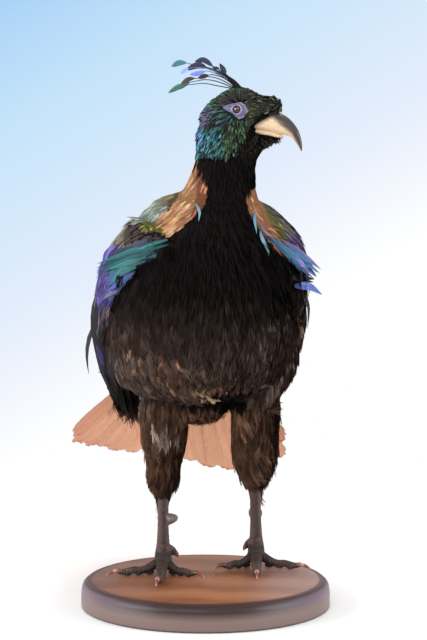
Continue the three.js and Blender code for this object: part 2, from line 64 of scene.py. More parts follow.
def hues(*colours):
    return [linear(*colour) for colour in colours]


def blend(first, second, share):
    return tuple(a + (b - a) * share for a, b in zip(first, second))


def clamp(value):
    return min(1, max(0, value))


# ---------------------------------------------------------------- shader building
class Wire:
    """A value that runs between shader nodes. Its operators add Math nodes."""

    def __init__(self, finish, socket):
        self.finish = finish
        self.socket = socket

    def maths(self, operation, *values):
        return self.finish.node("ShaderNodeMath", {"operation": operation}, dict(enumerate(values)))

    def __add__(self, other):
        return self.maths("ADD", self, other)

    __radd__ = __add__

    def __mul__(self, other):
        return self.maths("MULTIPLY", self, other)

    __rmul__ = __mul__

    def __sub__(self, other):
        return self.maths("SUBTRACT", self, other)

    def __rsub__(self, other):
        return self.maths("SUBTRACT", other, self)

    def __abs__(self):
        return self.maths("ABSOLUTE", self)

    def sine(self):
        return self.maths("SINE", self)

    def over(self, low, high):
        """0 below low, 1 above high, and straight between."""
        spread = {"data_type": "FLOAT", "clamp": True}
        return self.finish.node("ShaderNodeMapRange", spread, {0: self, 1: low, 2: high})


class Shading:
    """A node tree that is built up from expressions."""

    def __init__(self, tree):
        self.tree = tree

    def node(self, kind, settings=None, inputs=None, out=0):
        made = self.tree.nodes.new(kind)
        for key, value in (settings or {}).items():
            if key == "stops":
                elements = made.color_ramp.elements
                while len(elements) < len(value):
                    elements.new(1)
                for element, (position, colour) in zip(elements, value):
                    element.position = position
                    element.color = (*colour, 1)
            else:
                setattr(made, key, value)
        for key, value in (inputs or {}).items():
            if isinstance(value, Wire):
                self.tree.links.new(value.socket, made.inputs[key])
            else:
                made.inputs[key].default_value = value
        return Wire(self, made.outputs[out])

    def axis(self, vector, which):
        return self.node("ShaderNodeSeparateXYZ", {}, {0: vector}, which)

    def ramp(self, stops, value):
        return self.node("ShaderNodeValToRGB", {"stops": stops}, {0: value})


class Finish(Shading):
    """One material."""

    def __init__(self, name, **constants):
        self.material = bpy.data.materials.new(name)
        self.material.use_nodes = True
        super().__init__(self.material.node_tree)
        self.shader = self.tree.nodes["Principled BSDF"]
        for key, value in constants.items():
            self.shader.inputs[key.replace("_", " ").title().replace("Ior", "IOR")].default_value = value

    def feed(self, **links):
        for key, value in links.items():
            self.tree.links.new(value.socket, self.shader.inputs[key.replace("_", " ")])

    def place(self):
        return self.node("ShaderNodeTexCoord", out=3)

    def noise(self, scale, detail=3.0, vector=None, stretch=None):
        vector = vector or self.place()
        if stretch:
            vector = self.node("ShaderNodeMapping", {}, {0: vector, 3: stretch})
        return self.node("ShaderNodeTexNoise", {}, {0: vector, 2: scale, 3: detail})

    def mix(self, factor, first, second, blend="MIX"):
        def colour(value):
            return value if isinstance(value, Wire) else (*value, 1)

        settings = {"data_type": "RGBA", "blend_type": blend}
        return self.node("ShaderNodeMix", settings, {0: factor, 6: colour(first), 7: colour(second)}, 2)

    def tint(self, out=0):
        """The colour painted on the piece. Output 3 is what is stored beside it."""
        return self.node("ShaderNodeAttribute", {"attribute_name": "tint"}, out=out)

    def vane(self):
        """Across and along a feather, and how far out from its shaft."""
        spot = self.node("ShaderNodeUVMap", {"uv_map": "vane"})
        across = self.axis(spot, 0)
        return across, self.axis(spot, 1), abs(across - 0.5) * 2

    def bump(self, height, strength, distance):
        return self.node("ShaderNodeBump", {}, {"Height": height, "Strength": strength, "Distance": distance})


def feather_finish(name, barb_count, spread, roughness, specular, hue_play, root_painted_shade):
    """Vanes: a shaft, slanting barbs, a root darkened as painted shade under the feather above, and colours
    that wander a little as on real gloss.
    """
    made = Finish(name, specular_ior_level=specular)
    _, along, side = made.vane()
    barbs = ((along * barb_count - side * (barb_count * 0.16)) * 6.283).sine() * 0.5 + 0.5
    shaft = 1 - side.over(0.02, 0.1)
    patches = made.noise(spread, 2.0)
    hue = patches.over(0.3, 0.7) * hue_play + (0.5 - hue_play / 2)
    gloss = made.tint(3)
    # Darker towards the root: painted shade where the feather above lies over it.
    value = along.over(0.0, 0.75) * (1 - root_painted_shade) + root_painted_shade
    value = value * (barbs * 0.25 + 0.82) * (patches * 0.5 + 0.75)
    colour = made.node(
        "ShaderNodeHueSaturation", {}, {"Hue": hue, "Saturation": 1.0, "Value": value, "Color": made.tint()}
    )
    made.feed(
        Base_Color=made.mix(shaft * 0.35, colour, (0.03, 0.022, 0.02)),
        Metallic=gloss * 0.75,
        Roughness=roughness - gloss * 0.22,
        Normal=made.bump(barbs * 0.6 + shaft, 0.5, 0.0004),
    )
    return made.material


soft_feathers = feather_finish("soft_plumage", 16, 160, 0.85, 0.1, 0.02, 0.45)
gloss_feathers = feather_finish("metallic_plumage", 14, 120, 0.6, 0.35, 0.06, 0.5)


def painted_finish(name, grain, fleck_and_shade, roughness, relief, coat=0.0, specular=0.5):
    """A finish whose colours are painted on the piece, with flecks, painted shade in the creases between
    cells, and fine relief over them.
    """
    made = Finish(name, coat_weight=coat, coat_roughness=0.08, specular_ior_level=specular)
    flecks = made.noise(grain, 4.0)
    edges = {"feature": "DISTANCE_TO_EDGE"}
    cells = made.node("ShaderNodeTexVoronoi", edges, {0: made.place(), 2: grain * 1.6})
    dark = made.mix(1.0, made.tint(), (0.3, 0.26, 0.25), "MULTIPLY")
    # Darker along the cell edges: painted shade in the creases.
    crease_shade = 1 - cells.over(0.02, 0.16)
    shade = flecks.over(0.35, 0.75) * fleck_and_shade * 0.6 + crease_shade * fleck_and_shade * 0.6
    made.feed(
        Base_Color=made.mix(shade, made.tint(), dark),
        Roughness=flecks * 0.25 + (roughness - 0.12),
        Normal=made.bump(cells.over(0.0, 0.12) + flecks * 0.5, relief, 0.0005),
    )
    return made.material


scaled_leg = painted_finish("scaled_leg", 420, 0.55, 0.55, 0.6, specular=0.28)
claw_horn = painted_finish("claw_horn", 500, 0.35, 0.35, 0.12, coat=0.3)
bill_horn = painted_finish("bill_horn", 220, 0.22, 0.4, 0.08, coat=0.2)
bare_skin = painted_finish("bare_eye_skin", 900, 0.35, 0.5, 0.5)
eye_glass = painted_finish("glass_eye", 900, 0.1, 0.12, 0.0, coat=1.0)
down_skin = painted_finish("under_down", 320, 0.6, 0.95, 0.9, specular=0.05)


# ---------------------------------------------------------------- meshes
def placed(name, data):
    """A new object in the scene."""
    thing = bpy.data.objects.new(name, data)
    bpy.context.scene.collection.objects.link(thing)
    return thing


def mesh_of(bm, name):
    mesh = bpy.data.meshes.new(name)
    bm.to_mesh(mesh)
    bm.free()
    return mesh


def faces_of(verts):
    return list({face for vert in verts for face in vert.link_faces})


def extruded(bm, edges):
    """Draws out a ring of edges. Gives the new ring's vertices and edges."""
    grown = bmesh.ops.extrude_edge_only(bm, edges=edges)["geom"]
    return [[g for g in grown if isinstance(g, kind)] for kind in (bmesh.types.BMVert, bmesh.types.BMEdge)]


def along_rows(rows, steps):
    """Rows of numbers drawn out into a smooth run of steps + 1 rows."""
    made = []
    for i in range(steps + 1):
        place = i / steps * (len(rows) - 1)
        low = min(int(place), len(rows) - 2)
        t = place - low
        four = [rows[min(max(low + k, 0), len(rows) - 1)] for k in (-1, 0, 1, 2)]
        if low == 0:
            four[0] = [2 * a - b for a, b in zip(rows[0], rows[1])]
        if low == len(rows) - 2:
            four[3] = [2 * a - b for a, b in zip(rows[-1], rows[-2])]
        made.append(
            tuple(
                b + 0.5 * t * (c - a + t * (2 * a - 5 * b + 4 * c - d + t * (3 * (b - c) + d - a)))
                for a, b, c, d in zip(*four)
            )
        )
    return made


def ring_frames(rows, front, level):
    """For rows of x, y, z, half side and half depth: the frame that carries a unit circle onto each."""
    made = []
    spots = [Vector(row[:3]) for row in rows]
    for i, row in enumerate(rows):
        heading = spots[min(i + 1, len(rows) - 1)] - spots[max(i - 1, 0)]
        heading = UP.copy() if level else heading.normalized()
        depth = (front - heading * front.dot(heading)).normalized()
        side = heading.cross(depth)
        frame_of = Matrix((side * row[3], depth * row[4], heading)).transposed().to_4x4()
        made.append(Matrix.Translation(spots[i]) @ frame_of)
    return made


def limb(bm, rows, sides=16, steps=12, front=FORWARD, level=False, swell=None):
    """A closed limb, drawn along a smooth run of rows. swell(share) thickens it. Gives its vertices."""
    rows = along_rows(rows, steps)
    if swell:
        rows = [(*r[:3], r[3] * swell(i / steps), r[4] * swell(i / steps)) for i, r in enumerate(rows)]
    frames = ring_frames(rows, front, level)
    made = bmesh.ops.create_circle(bm, cap_ends=True, radius=1, segments=sides, matrix=frames[0])["verts"]
    ring = made
    edges = list({e for v in ring for e in v.link_edges})
    for before, after in zip(frames, frames[1:]):
        ring, edges = extruded(bm, edges)
        bmesh.ops.transform(bm, matrix=after @ before.inverted(), verts=ring)
        made = made + ring
    bmesh.ops.contextual_create(bm, geom=edges)
    bmesh.ops.recalc_face_normals(bm, faces=faces_of(made))
    return made


def piece(name, bm, place, finish, slot, stands_for=(), paint=None):
    """Turns a bmesh in a local frame into a finished object that rides on the part."""
    bm.transform(place)
    shown(name, mesh_of(bm, name), finish, slot, stands_for, paint)


def shown(name, mesh, finish, slot, stands_for=(), paint=None):
    thing = placed(name, mesh)
    mesh.materials.clear()
    mesh.materials.append(finish)
    mesh.shade_smooth()
    if paint:
        tint = mesh.color_attributes.new("tint", "FLOAT_COLOR", "POINT")
        for vert, spot in zip(mesh.vertices, tint.data):
            spot.color = paint(vert.co, vert.normal)
    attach(thing, "root")
    if stands_for:
        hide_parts(*stands_for)


def fused(bm, place, voxel, smoothing):
    """One closed skin round the limbs of a bmesh, as a mesh in metres."""
    bm.transform(place)
    mesh = mesh_of(bm, "limbs")
    thing = placed("limbs", mesh)
    remesh = thing.modifiers.new("skin", "REMESH")
    remesh.mode = "VOXEL"
    remesh.voxel_size = voxel * MM
    soften = thing.modifiers.new("soften", "SMOOTH")
    soften.iterations = smoothing
    soften.factor = 0.6
    bpy.context.view_layer.update()
    graph = bpy.context.evaluated_depsgraph_get()
    made = bpy.data.meshes.new_from_object(thing.evaluated_get(graph))
    bpy.data.objects.remove(thing)
    bpy.data.meshes.remove(mesh)
    return made


# ---------------------------------------------------------------- the bird's shape
BODY_X = -3
# Height, sideways shift, half width, front, back.
TRUNK = [
    (227, 2, 48, -4, 66), (238, 1, 76, -30, 92), (256, 0, 97, -56, 110), (282, 0, 106, -76, 120),
    (312, 0, 110, -88, 119), (344, 0, 108, -92, 112), (376, 1, 103, -88, 100), (404, 4, 89, -76, 84),
    (430, 9, 67, -58, 66), (452, 16, 46, -44, 44),
]
NECK = [
    (BODY_X + 12, 0, 430, 58, 52), (BODY_X + 17, -1, 453, 45, 43.5), (17, -5, 474, 37, 38),
    (21, -9, 496, 34, 35), (23, -12, 520, 32, 34), (22, -13, 534, 28, 29.5), (24, -13, 546, 22, 23),
]
SKULL = [
    (0, 34, -18, 8, 10), (0, 29, -12, 17, 18), (0, 17, -6, 23, 22.5), (0, 3, -2, 24.5, 27.5),
    (0, -9, -1, 24, 27.5), (0, -22, 0.5, 20.5, 22), (0, -35, 4, 14, 14), (0, -44, 5.5, 10.5, 10.5),
    (0, -50, 4, 6, 5.5),
]
BALLS = {"right": Vector((-43.5, 32, BASE_TOP + 13)), "left": Vector((66.5, 55, BASE_TOP + 13))}
HOCKS = {"right": Vector((-39.5, 64, BASE_TOP + 93)), "left": Vector((70.5, 87, BASE_TOP + 93))}
KNEES = {"right": Vector((-37, 50, 260)), "left": Vector((63, 50, 260))}
TURNS = {"right": -1, "left": 1}
WING_PARTS = ("wing_coverts", "secondaries", "primaries")
THIGHS = {
    "right": [
        (-0.12, 0.3), (0, 0.5), (0.12, 0.74), (0.28, 0.84), (0.46, 1.02), (0.62, 1.1), (0.78, 1.1), (1, 0.9),
    ],
    "left": [
        (-0.12, 0.3), (0, 0.46), (0.13, 0.8), (0.29, 1.02), (0.48, 1.06), (0.62, 1.1), (0.78, 1.08), (1, 0.9),
    ],
}
# Where feathers stand up from the carved shape, as x, y, z and two half widths.
MANTLE = {
    "right": [
        (0, 8, 440, 24, 30), (-25, 10, 436, 22, 30), (-46, 12, 427, 21, 32), (-64, 14, 410, 18, 34),
        (-78, 16, 392, 14, 30),
    ],
    "left": [
        (30, 8, 436, 22, 30), (52, 10, 431, 20, 30), (72, 10, 418, 19, 32), (90, 12, 402, 17, 32),
        (102, 14, 382, 13, 30), (106, 14, 362, 9, 24),
    ],
}
FLANK = [
    (88, 12, 318, 15, 20), (86, 12, 295, 21, 24), (83, 12, 268, 20, 24), (73, 14, 246, 18, 24),
    (63, 18, 226, 15, 20),
]
THROAT = [
    (0, -51, -28, 3.4, 3), (0, -45, -29, 6.5, 5), (0, -35, -30, 10.5, 8.5), (0, -22, -34, 14, 13),
    (0, -10, -44, 18, 17), (0, -2, -58, 21, 20), (0, 0, -76, 22, 22),
]
BROW = [
    (0, -22, -5, 17, 10), (0, -30, -3.5, 14.6, 9), (0, -37, -0.5, 11.8, 7.6), (0, -42, 1.2, 8.5, 5),
    (0, -45.5, 1.2, 4, 2.5),
]
VENT = [(-2, 30, 238, 34, 22), (0, 60, 224, 40, 25), (2, 92, 222, 38, 25), (4, 120, 232, 28, 18)]
NAPE = [
    (0, 21, -14, 17, 19), (0, 25, -26, 18, 20), (0, 24, -40, 19, 21), (0, 18, -54, 19, 21),
    (0, 10, -70, 19, 22),
]
# The rump runs along the tail: how far along, how far above it, half width and half depth.
RUMP = [(-12, 14, 30, 14), (25, 12, 28, 11), (55, 12, 26, 8), (84, 12, 18, 4)]


def turn_about(vector, axis, degrees):
    return Matrix.Rotation(math.radians(degrees), 3, axis) @ vector


TAIL_COUNT, TAIL_LONG, TAIL_SHORT, TAIL_WIDTH, TAIL_ARCH = 18, 250, 172, 34, 31
TAIL_ROOT = Vector((-4, 128.6, 286.7))
TAIL_AXIS = turn_about(turn_about(Vector((0, 1, 0)), Vector((1, 0, 0)), -39), UP, 18.4)
TAIL_SIDE = turn_about(TAIL_AXIS.cross(UP).normalized(), TAIL_AXIS, 7.5)
TAIL_UP = TAIL_SIDE.cross(TAIL_AXIS).normalized()


def straight(pairs, place):
    """A value read off a list of (place, value) pairs, straight between them."""
    for (a, low), (b, high) in zip(pairs, pairs[1:]):
        if place <= b:
            return low + (high - low) * max(0.0, (place - a) / (b - a))
    return pairs[-1][1]


def flank(y, z):
    """How far out from the trunk's middle the side of the body lies, as a wing hugs it."""
    z = max(z, 262)
    half = straight([(r[0], r[2]) for r in TRUNK], z)
    front = straight([(r[0], r[3]) for r in TRUNK], z)
    back = straight([(r[0], r[4]) for r in TRUNK], z)
    reach = min(0.78, max(-0.97, (y - (front + back) / 2) / ((back - front) / 2)))
    return half * math.sqrt(1 - reach * reach)


def thinner(rows, feathers):
    """Rows of a limb, less the thickness of what grows on it."""
    return [(x, y, z, side - feathers, depth - feathers) for x, y, z, side, depth in rows]


def bird_skin():
    """One closed skin round trunk, neck, head, thighs, rump and the solids of wings and tail coverts."""
    bm = bmesh.new()
    trunk = [(BODY_X + r[1], (r[3] + r[4]) / 2, r[0], r[2], (r[4] - r[3]) / 2) for r in TRUNK]
    limb(bm, thinner(trunk, 2.5), 48, 30, level=True)
    limb(bm, thinner(NECK, 2), 40, 24, level=True)
    head = limb(bm, thinner(SKULL, 1.5), 32, 20, front=UP)
    head += limb(bm, thinner(THROAT, 2), 24, 16, front=UP)
    head += limb(bm, NAPE, 24, 16)
    head += limb(bm, BROW, 24, 16, front=UP)
    bmesh.ops.transform(bm, matrix=TO_BIRD @ HEAD, verts=head)
    for roll in (*MANTLE.values(), FLANK):
        limb(bm, roll, 24, 16)
    limb(bm, VENT, 24, 16, front=UP)
    rump = [(*(TAIL_ROOT + TAIL_AXIS * s + TAIL_UP * h), w, d) for s, h, w, d in RUMP]
    limb(bm, rump, 24, 16, front=TAIL_UP)
    for side, ball in BALLS.items():
        low = HOCKS[side].lerp(ball, 0.06)
        rows = [(*low.lerp(KNEES[side], share), 27 * size, 30 * size) for share, size in THIGHS[side]]
        limb(bm, thinner(rows, 3), 24, 16)
    solid = [f"{side}_{part}" for part in WING_PARTS for side in TURNS]
    for node_name in (*solid, "upper_tail_coverts", "under_tail_coverts"):
        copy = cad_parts[node_name].data.copy()
        copy.transform(TO_BIRD)
        bm.from_mesh(copy)
        bpy.data.meshes.remove(copy)
    bmesh.ops.remove_doubles(bm, verts=bm.verts, dist=0.001)
    return fused(bm, BIRD, 2.3, 6)


skin_mesh = bird_skin()


# ---------------------------------------------------------------- where feathers grow, and their colours
def spread_of(colours, jitter=0.12):
    """One of several colours, each a little lighter or darker at random."""
    colour = draw.choice(colours)
    light = 1 + draw.uniform(-jitter, jitter) * 2
    return tuple(min(1.0, c * light) for c in colour)


BLACK = hues((19, 14, 14), (25, 18, 18), (16, 12, 14))
WARM_BLACK = hues((33, 23, 21), (27, 19, 18), (39, 27, 24))
TEAL = hues((30, 96, 104), (36, 110, 112), (24, 80, 94), (52, 122, 122))


VIEW = Vector((8.8, -2200, 505))
TURN = Matrix.Rotation(YAW, 3, "Z")
HEAD_BACK = HEAD.inverted()


def elevation(point):
    """Where a point in metres stands in the front elevation, in millimetres: across, and up."""
    spot = point / MM - VIEW
    near = VIEW.y / -spot.y
    return spot.x * near + VIEW.x, spot.z * near + VIEW.z


def at_depth(across, up, depth):
    """The point in metres that the front elevation shows at a place, at a depth in millimetres."""
    near = (depth - VIEW.y) / -VIEW.y
    return Vector((VIEW.x + (across - VIEW.x) * near, depth, VIEW.z + (up - VIEW.z) * near)) * MM


def inside(outline, across, up):
    found = False
    for (a, b), (c, d) in zip(outline, outline[1:] + outline[:1]):
        if (b > up) != (d > up) and across < (c - a) * (up - b) / (d - b) + a:
            found = not found
    return found


COPPER = hues((214, 156, 110), (226, 172, 126), (198, 138, 94), (236, 188, 144), (168, 112, 76))
RED_COPPER = hues((184, 118, 84), (158, 92, 66), (204, 136, 98), (122, 70, 54))
# Grey-green lightened to silver: the mantle's own green with painted sheen.
SILVER_SHEEN = hues((168, 182, 172), (146, 164, 146), (190, 200, 192), (130, 146, 116))
OLIVE = hues((120, 108, 78), (98, 88, 62), (140, 126, 92))
YELLOW_GREEN = hues((150, 150, 60), (128, 136, 62), (166, 160, 70), (104, 116, 56))
PLUM = hues((54, 38, 42), (64, 44, 46), (44, 32, 36))
BRONZE = hues((150, 146, 128), (124, 118, 92), (168, 166, 152), (96, 88, 62))
VIOLET = hues((86, 76, 146), (70, 62, 118), (112, 106, 196), (82, 66, 126), (98, 84, 140), (66, 60, 96))
SLATE = hues((48, 58, 82), (58, 70, 92), (40, 46, 62))
MAUVE = hues((106, 88, 96), (90, 74, 78), (120, 98, 104), (80, 62, 60))
PURPLE = hues((104, 84, 132), (84, 66, 100), (150, 132, 220), (124, 104, 170), (92, 70, 92))
GREEN_GOLD = hues((150, 152, 86), (128, 136, 84), (172, 160, 90), (106, 108, 66))
GREY_OLIVE = hues((122, 118, 102), (100, 94, 80), (138, 134, 118))
# The coloured fields of the shoulders, from the front: outline, spacing, length, width, flow, colours, gloss.
FIELDS = [
    ([(-9, 488), (-2, 479), (3, 459), (-1, 444), (-8, 434), (-17, 428), (-13, 442), (-9, 459), (-10, 475)],
     3.6, 16, 6, (-0.15, -1), RED_COPPER, 0.12),
    ([(-8, 491), (-6, 475), (-7, 457), (-9, 442), (-17, 426), (-32, 414), (-43, 410), (-47, 422), (-42, 434),
      (-37, 444), (-29, 453), (-30, 464), (-24, 472), (-20, 484)], 3.2, 17, 5.5, (-0.5, -1), COPPER, 0.1),
    ([(-45, 458), (-32, 465), (-20, 466), (-29, 452), (-37, 444), (-41, 441)],
     3.8, 16, 6, (-0.8, -0.8), OLIVE, 0.3),
    # The silver field at the left shoulder's edge: grey-green with painted sheen.
    ([(-76, 424), (-66, 442), (-51, 458), (-43, 457), (-39, 445), (-43, 434), (-47, 424), (-57, 426)],
     3.4, 12, 6, (-0.55, -1), SILVER_SHEEN, 0.3),
    ([(-70, 425), (-59, 427), (-50, 426), (-42, 425), (-43, 412), (-50, 413), (-61, 417)],
     3.4, 11, 6, (-0.2, -1), YELLOW_GREEN, 0.3),
    ([(-86, 418), (-79, 432), (-68, 432), (-65, 422), (-59, 416), (-48, 412), (-43, 409), (-52, 403),
      (-72, 403), (-82, 402), (-84, 409)], 3.8, 14, 7, (-0.6, -0.9), PLUM, 0.1),
    ([(-110, 400), (-100, 416), (-88, 428), (-73, 434), (-72, 425), (-79, 415), (-82, 402), (-92, 403)],
     3.8, 13, 7, (-0.6, -0.9), BRONZE, 0.25),
    ([(-131, 380), (-119, 380), (-119, 336), (-105, 341), (-107, 325), (-118, 319), (-118, 289), (-131, 289)],
     5.0, 20, 8, (-0.2, -1), MAUVE, 0.15),
    ([(-126, 374), (-116, 396), (-104, 410), (-86, 403), (-90, 394), (-96, 366), (-98, 350), (-103, 343),
      (-112, 320), (-119, 320), (-124, 349), (-124, 366)], 4.6, 18, 7, (-0.5, -1), VIOLET, 0.55),
    ([(-96, 385), (-92, 402), (-72, 404), (-43, 409), (-52, 386), (-83, 372)],
     4.6, 18, 7, (-1, -0.4), SLATE, 0.3),
    ([(44, 452), (53, 462), (62, 446), (67, 433), (74, 418), (82, 404), (91, 393), (82, 396), (69, 404),
      (58, 418), (48, 435)], 3.6, 16, 6, (0.6, -1), COPPER + RED_COPPER[:2], 0.12),
    ([(62, 445), (72, 433), (83, 422), (89, 407), (82, 404), (74, 418), (67, 433)],
     3.8, 16, 6, (0.6, -1), GREEN_GOLD, 0.35),
    ([(53, 462), (71, 452), (90, 432), (94, 415), (83, 422), (69, 437), (59, 446)],
     4.0, 17, 7, (0.8, -0.8), GREY_OLIVE, 0.25),
    ([(83, 430), (98, 424), (112, 408), (120, 391), (120, 370), (101, 384), (91, 397), (87, 409)],
     4.4, 17, 7, (0.6, -1), PURPLE, 0.45),
    ([(104, 365), (122, 365), (122, 295), (109, 295)],
     5.0, 16, 7, (0, -1), WARM_BLACK + MAUVE[1:2] + PURPLE[1:2], 0.1),
]
CREAM = hues((206, 180, 140), (180, 150, 112), (120, 96, 76))
# Near-black painted shadow for the hollow between the thighs, under the belly.
HOLLOW_SHADOW = hues((14, 10, 10))
FUR = hues((80, 64, 56), (98, 80, 72), (66, 50, 42), (114, 94, 84))
GREY_FUR = hues((98, 84, 82), (116, 102, 100), (84, 68, 64), (74, 58, 52))
RUST = hues((148, 104, 82), (170, 132, 108), (116, 80, 62), (98, 78, 66))
THIGH_BROWN = hues((78, 55, 43), (92, 66, 51), (62, 44, 35), (108, 80, 62))
THIGH_PALE = hues((196, 176, 160), (168, 148, 134), (120, 100, 88))
# Lighter and darker fields of the belly and thighs: outline, colours, and how many of the feathers take them.
# The near-black in the hollow between the thighs is painted shadow.
SOFT_FIELDS = [
    ([(-15, 243), (2, 243), (4, 225), (-11, 225)], CREAM, 0.8),
    ([(-10, 240), (44, 240), (44, 214), (-10, 216)], HOLLOW_SHADOW, 1.0),
    ([(-58, 207), (-27, 205), (-26, 186), (-55, 186)], THIGH_PALE, 0.7),
    ([(-44, 262), (-17, 254), (10, 251), (48, 255), (50, 240), (10, 234), (-23, 235), (-46, 244)], RUST, 0.6),
    ([(-98, 292), (-61, 286), (-30, 278), (-26, 254), (-50, 252), (-86, 264)], RUST + FUR[:2], 0.6),
    ([(88, 340), (118, 340), (112, 250), (70, 236), (66, 262), (84, 290)], GREY_FUR, 0.8),
    ([(-118, 300), (-70, 292), (-40, 250), (-44, 215), (-100, 215)], GREY_FUR + FUR, 0.75),
]
HEAD_DARK = hues((34, 30, 28), (44, 38, 32), (28, 24, 24), (70, 84, 58))
HEAD_FIELDS = [
    ([(57, 570), (71, 570), (84, 558), (84, 545), (62, 546), (57, 555)],
     hues((30, 26, 24), (40, 34, 30), (88, 100, 74), (34, 32, 26), (24, 20, 20), (60, 70, 48)), 0.1),
    ([(-6, 550), (-2, 566), (14, 580), (29, 580), (41, 574), (39, 561), (25, 560), (16, 554), (7, 550)],
     hues((40, 92, 78), (60, 100, 72), (34, 66, 58), (48, 72, 50), (38, 40, 30)), 0.45),
    ([(38, 580), (53, 580), (67, 574), (80, 568), (84, 550), (71, 550), (62, 558), (53, 563), (41, 562)],
     HEAD_DARK, 0.1),
    ([(38, 563), (57, 562), (62, 545), (54, 534), (45, 536), (49, 547), (46, 556)],
     hues((78, 82, 46), (56, 60, 36), (64, 62, 40), (42, 40, 30)), 0.2),
    ([(-14, 532), (-8, 555), (9, 558), (8, 543), (2, 532), (-9, 525)],
     hues((112, 102, 134), (86, 84, 116), (66, 74, 100), (60, 56, 72)), 0.45),
    ([(7, 556), (17, 556), (31, 542), (19, 529), (3, 526), (5, 543)],
     hues((34, 62, 62), (54, 106, 100), (62, 54, 74), (30, 34, 38), (60, 120, 104)), 0.4),
    ([(-18, 536), (-2, 535), (2, 511), (-18, 509)],
     hues((80, 160, 196), (60, 110, 140), (40, 64, 80), (100, 130, 180)), 0.5),
    ([(-8, 529), (5, 531), (19, 528), (20, 503), (8, 493), (-8, 496), (-12, 514)],
     hues((58, 122, 128), (76, 144, 160), (42, 82, 90), (26, 44, 50), (54, 108, 108)), 0.5),
    ([(18, 540), (34, 541), (49, 539), (50, 531), (39, 519), (32, 508), (26, 497), (15, 496), (18, 525)],
     hues((76, 112, 76), (50, 80, 56), (30, 46, 34), (60, 84, 54), (26, 30, 26)), 0.4),
]
BROWN_NECK = hues((66, 44, 48), (50, 36, 38), (40, 28, 30))


# Where the long primaries lie in the front elevation, so that nothing else is planted there.
PRIMARIES = [
    (-128, 312), (-116, 300), (-108, 276), (-98, 246), (-86, 222), (-78, 206), (-92, 196), (-112, 222),
    (-122, 262),
]
# Heights where head, neck and thighs begin or end. CHIN_LOW is a height in the head's own frame.
HEAD_LOW, CHIN_LOW, NECK_TOP, NECK_LOW, THIGH_TOP = 498, -50, 497, 440, 224
# The tail coverts lie behind the first and below the second.
TAIL_FROM, TAIL_HIGH = 124, 372
EYE_OUT, EYE_AHEAD, EYE_UP = 21.6, 8, 2


def head_tract(local):
    """What grows on the head, at a point in the head's own frame."""
    ahead, high = -local.y, local.z
    if inside(KITE, ahead - EYE_AHEAD, high - EYE_UP) and abs(local.x) > 10:
        return None
    seen = HEAD @ Vector((-abs(local.x), local.y, local.z))
    across, up = elevation(seen)
    across += noise.noise(seen * 400) * 3 + draw.uniform(-2.5, 2.5)
    up += draw.uniform(-3, 3)
    away = local - Vector((math.copysign(EYE_OUT, local.x), -EYE_AHEAD, EYE_UP))
    if ahead > 20:
        away = Vector((0, 1, -0.1 if high > -8 else -0.35))
    elif ahead > -4 and high < 0:
        away = Vector((0, away.y * 0.6 + 3, -abs(away.z) - 4))
    else:
        away = away + Vector((0, 3, -6))
    turn = HEAD.to_3x3()
    flow = (turn @ away).normalized()
    for outline, colours, gloss in HEAD_FIELDS:
        if inside(outline, across, up):
            long = draw.uniform(5, 8.5)
            colour = tuple(c * 1.3 for c in spread_of(colours + HEAD_DARK[:1]))
            return "curl", 1.75, long, 2.1, flow, colour, gloss * 0.4
    if ahead > 20 or high < -14 and ahead > 2:
        if high < -14:
            flow = (turn @ Vector((0, -0.35, -0.5) if ahead > 30 else (0, 0.5, -0.7))).normalized()
        return "tuft", 2.6, 8 if high < -14 else 5, 4, flow, spread_of(WARM_BLACK), 0.05
    return "curl", 2.6, 8, 3.2, flow, spread_of(HEAD_DARK[:3] if high > -20 else BLACK + BROWN_NECK[1:]), 0.1


def neck_tract(x, y, z):
    """What grows round the neck: black in front, copper at the sides, green-gold behind."""
    middle = 19 if z > 470 else 19 - (470 - z) * 0.25
    angle = abs(math.degrees(math.atan2(x - middle, -(y + 6))))
    flow = Vector((0, 0.3 if angle > 95 else 0.12, -1))
    if angle > 80 and z < NECK_TOP:
        return "silk", 3.6, 17, 6, flow, spread_of(COPPER if angle < 120 else GREEN_GOLD), 0.12
    if z > NECK_TOP and angle > 60:
        return "silk", 3.6, 12, 5, flow, spread_of(BROWN_NECK), 0.15
    return "tuft", 3.6, 14, 7, flow, spread_of(BLACK), 0.0


def thigh_tract(x, z, across, up, normal):
    """The fur of the thighs, with its pale field, painted shadow in the hollow between them, and fur painted
    twice as light below the hollow.
    """
    long, colours = (24 if z > 135 else 20), THIGH_BROWN
    for outline, others, share in SOFT_FIELDS[1:3]:
        if inside(outline, across, up) and draw.random() < share and normal.y < 0.3:
            colours = others
    outwards = math.copysign(0.25, x - BODY_X) * (z < 170)
    flow = Vector((draw.uniform(-0.3, 0.3) + outwards, 0.12, -1))
    if -28 < across < 44 and z > 188 and -28 < x < 52:
        # Between the thighs: near-black painted shadow in the hollow, and below it fur painted twice as light
        # to lift the shade there.
        if up > 221:
            return "tuft", 4.1, long * 0.6, 9, flow, spread_of(HOLLOW_SHADOW), 0.0
        return "tuft", 4.1, long, 9, flow, tuple(c * 2 for c in spread_of(THIGH_BROWN)), 0.0
    return "tuft", 4.1, long, 9, flow, spread_of(colours), 0.0


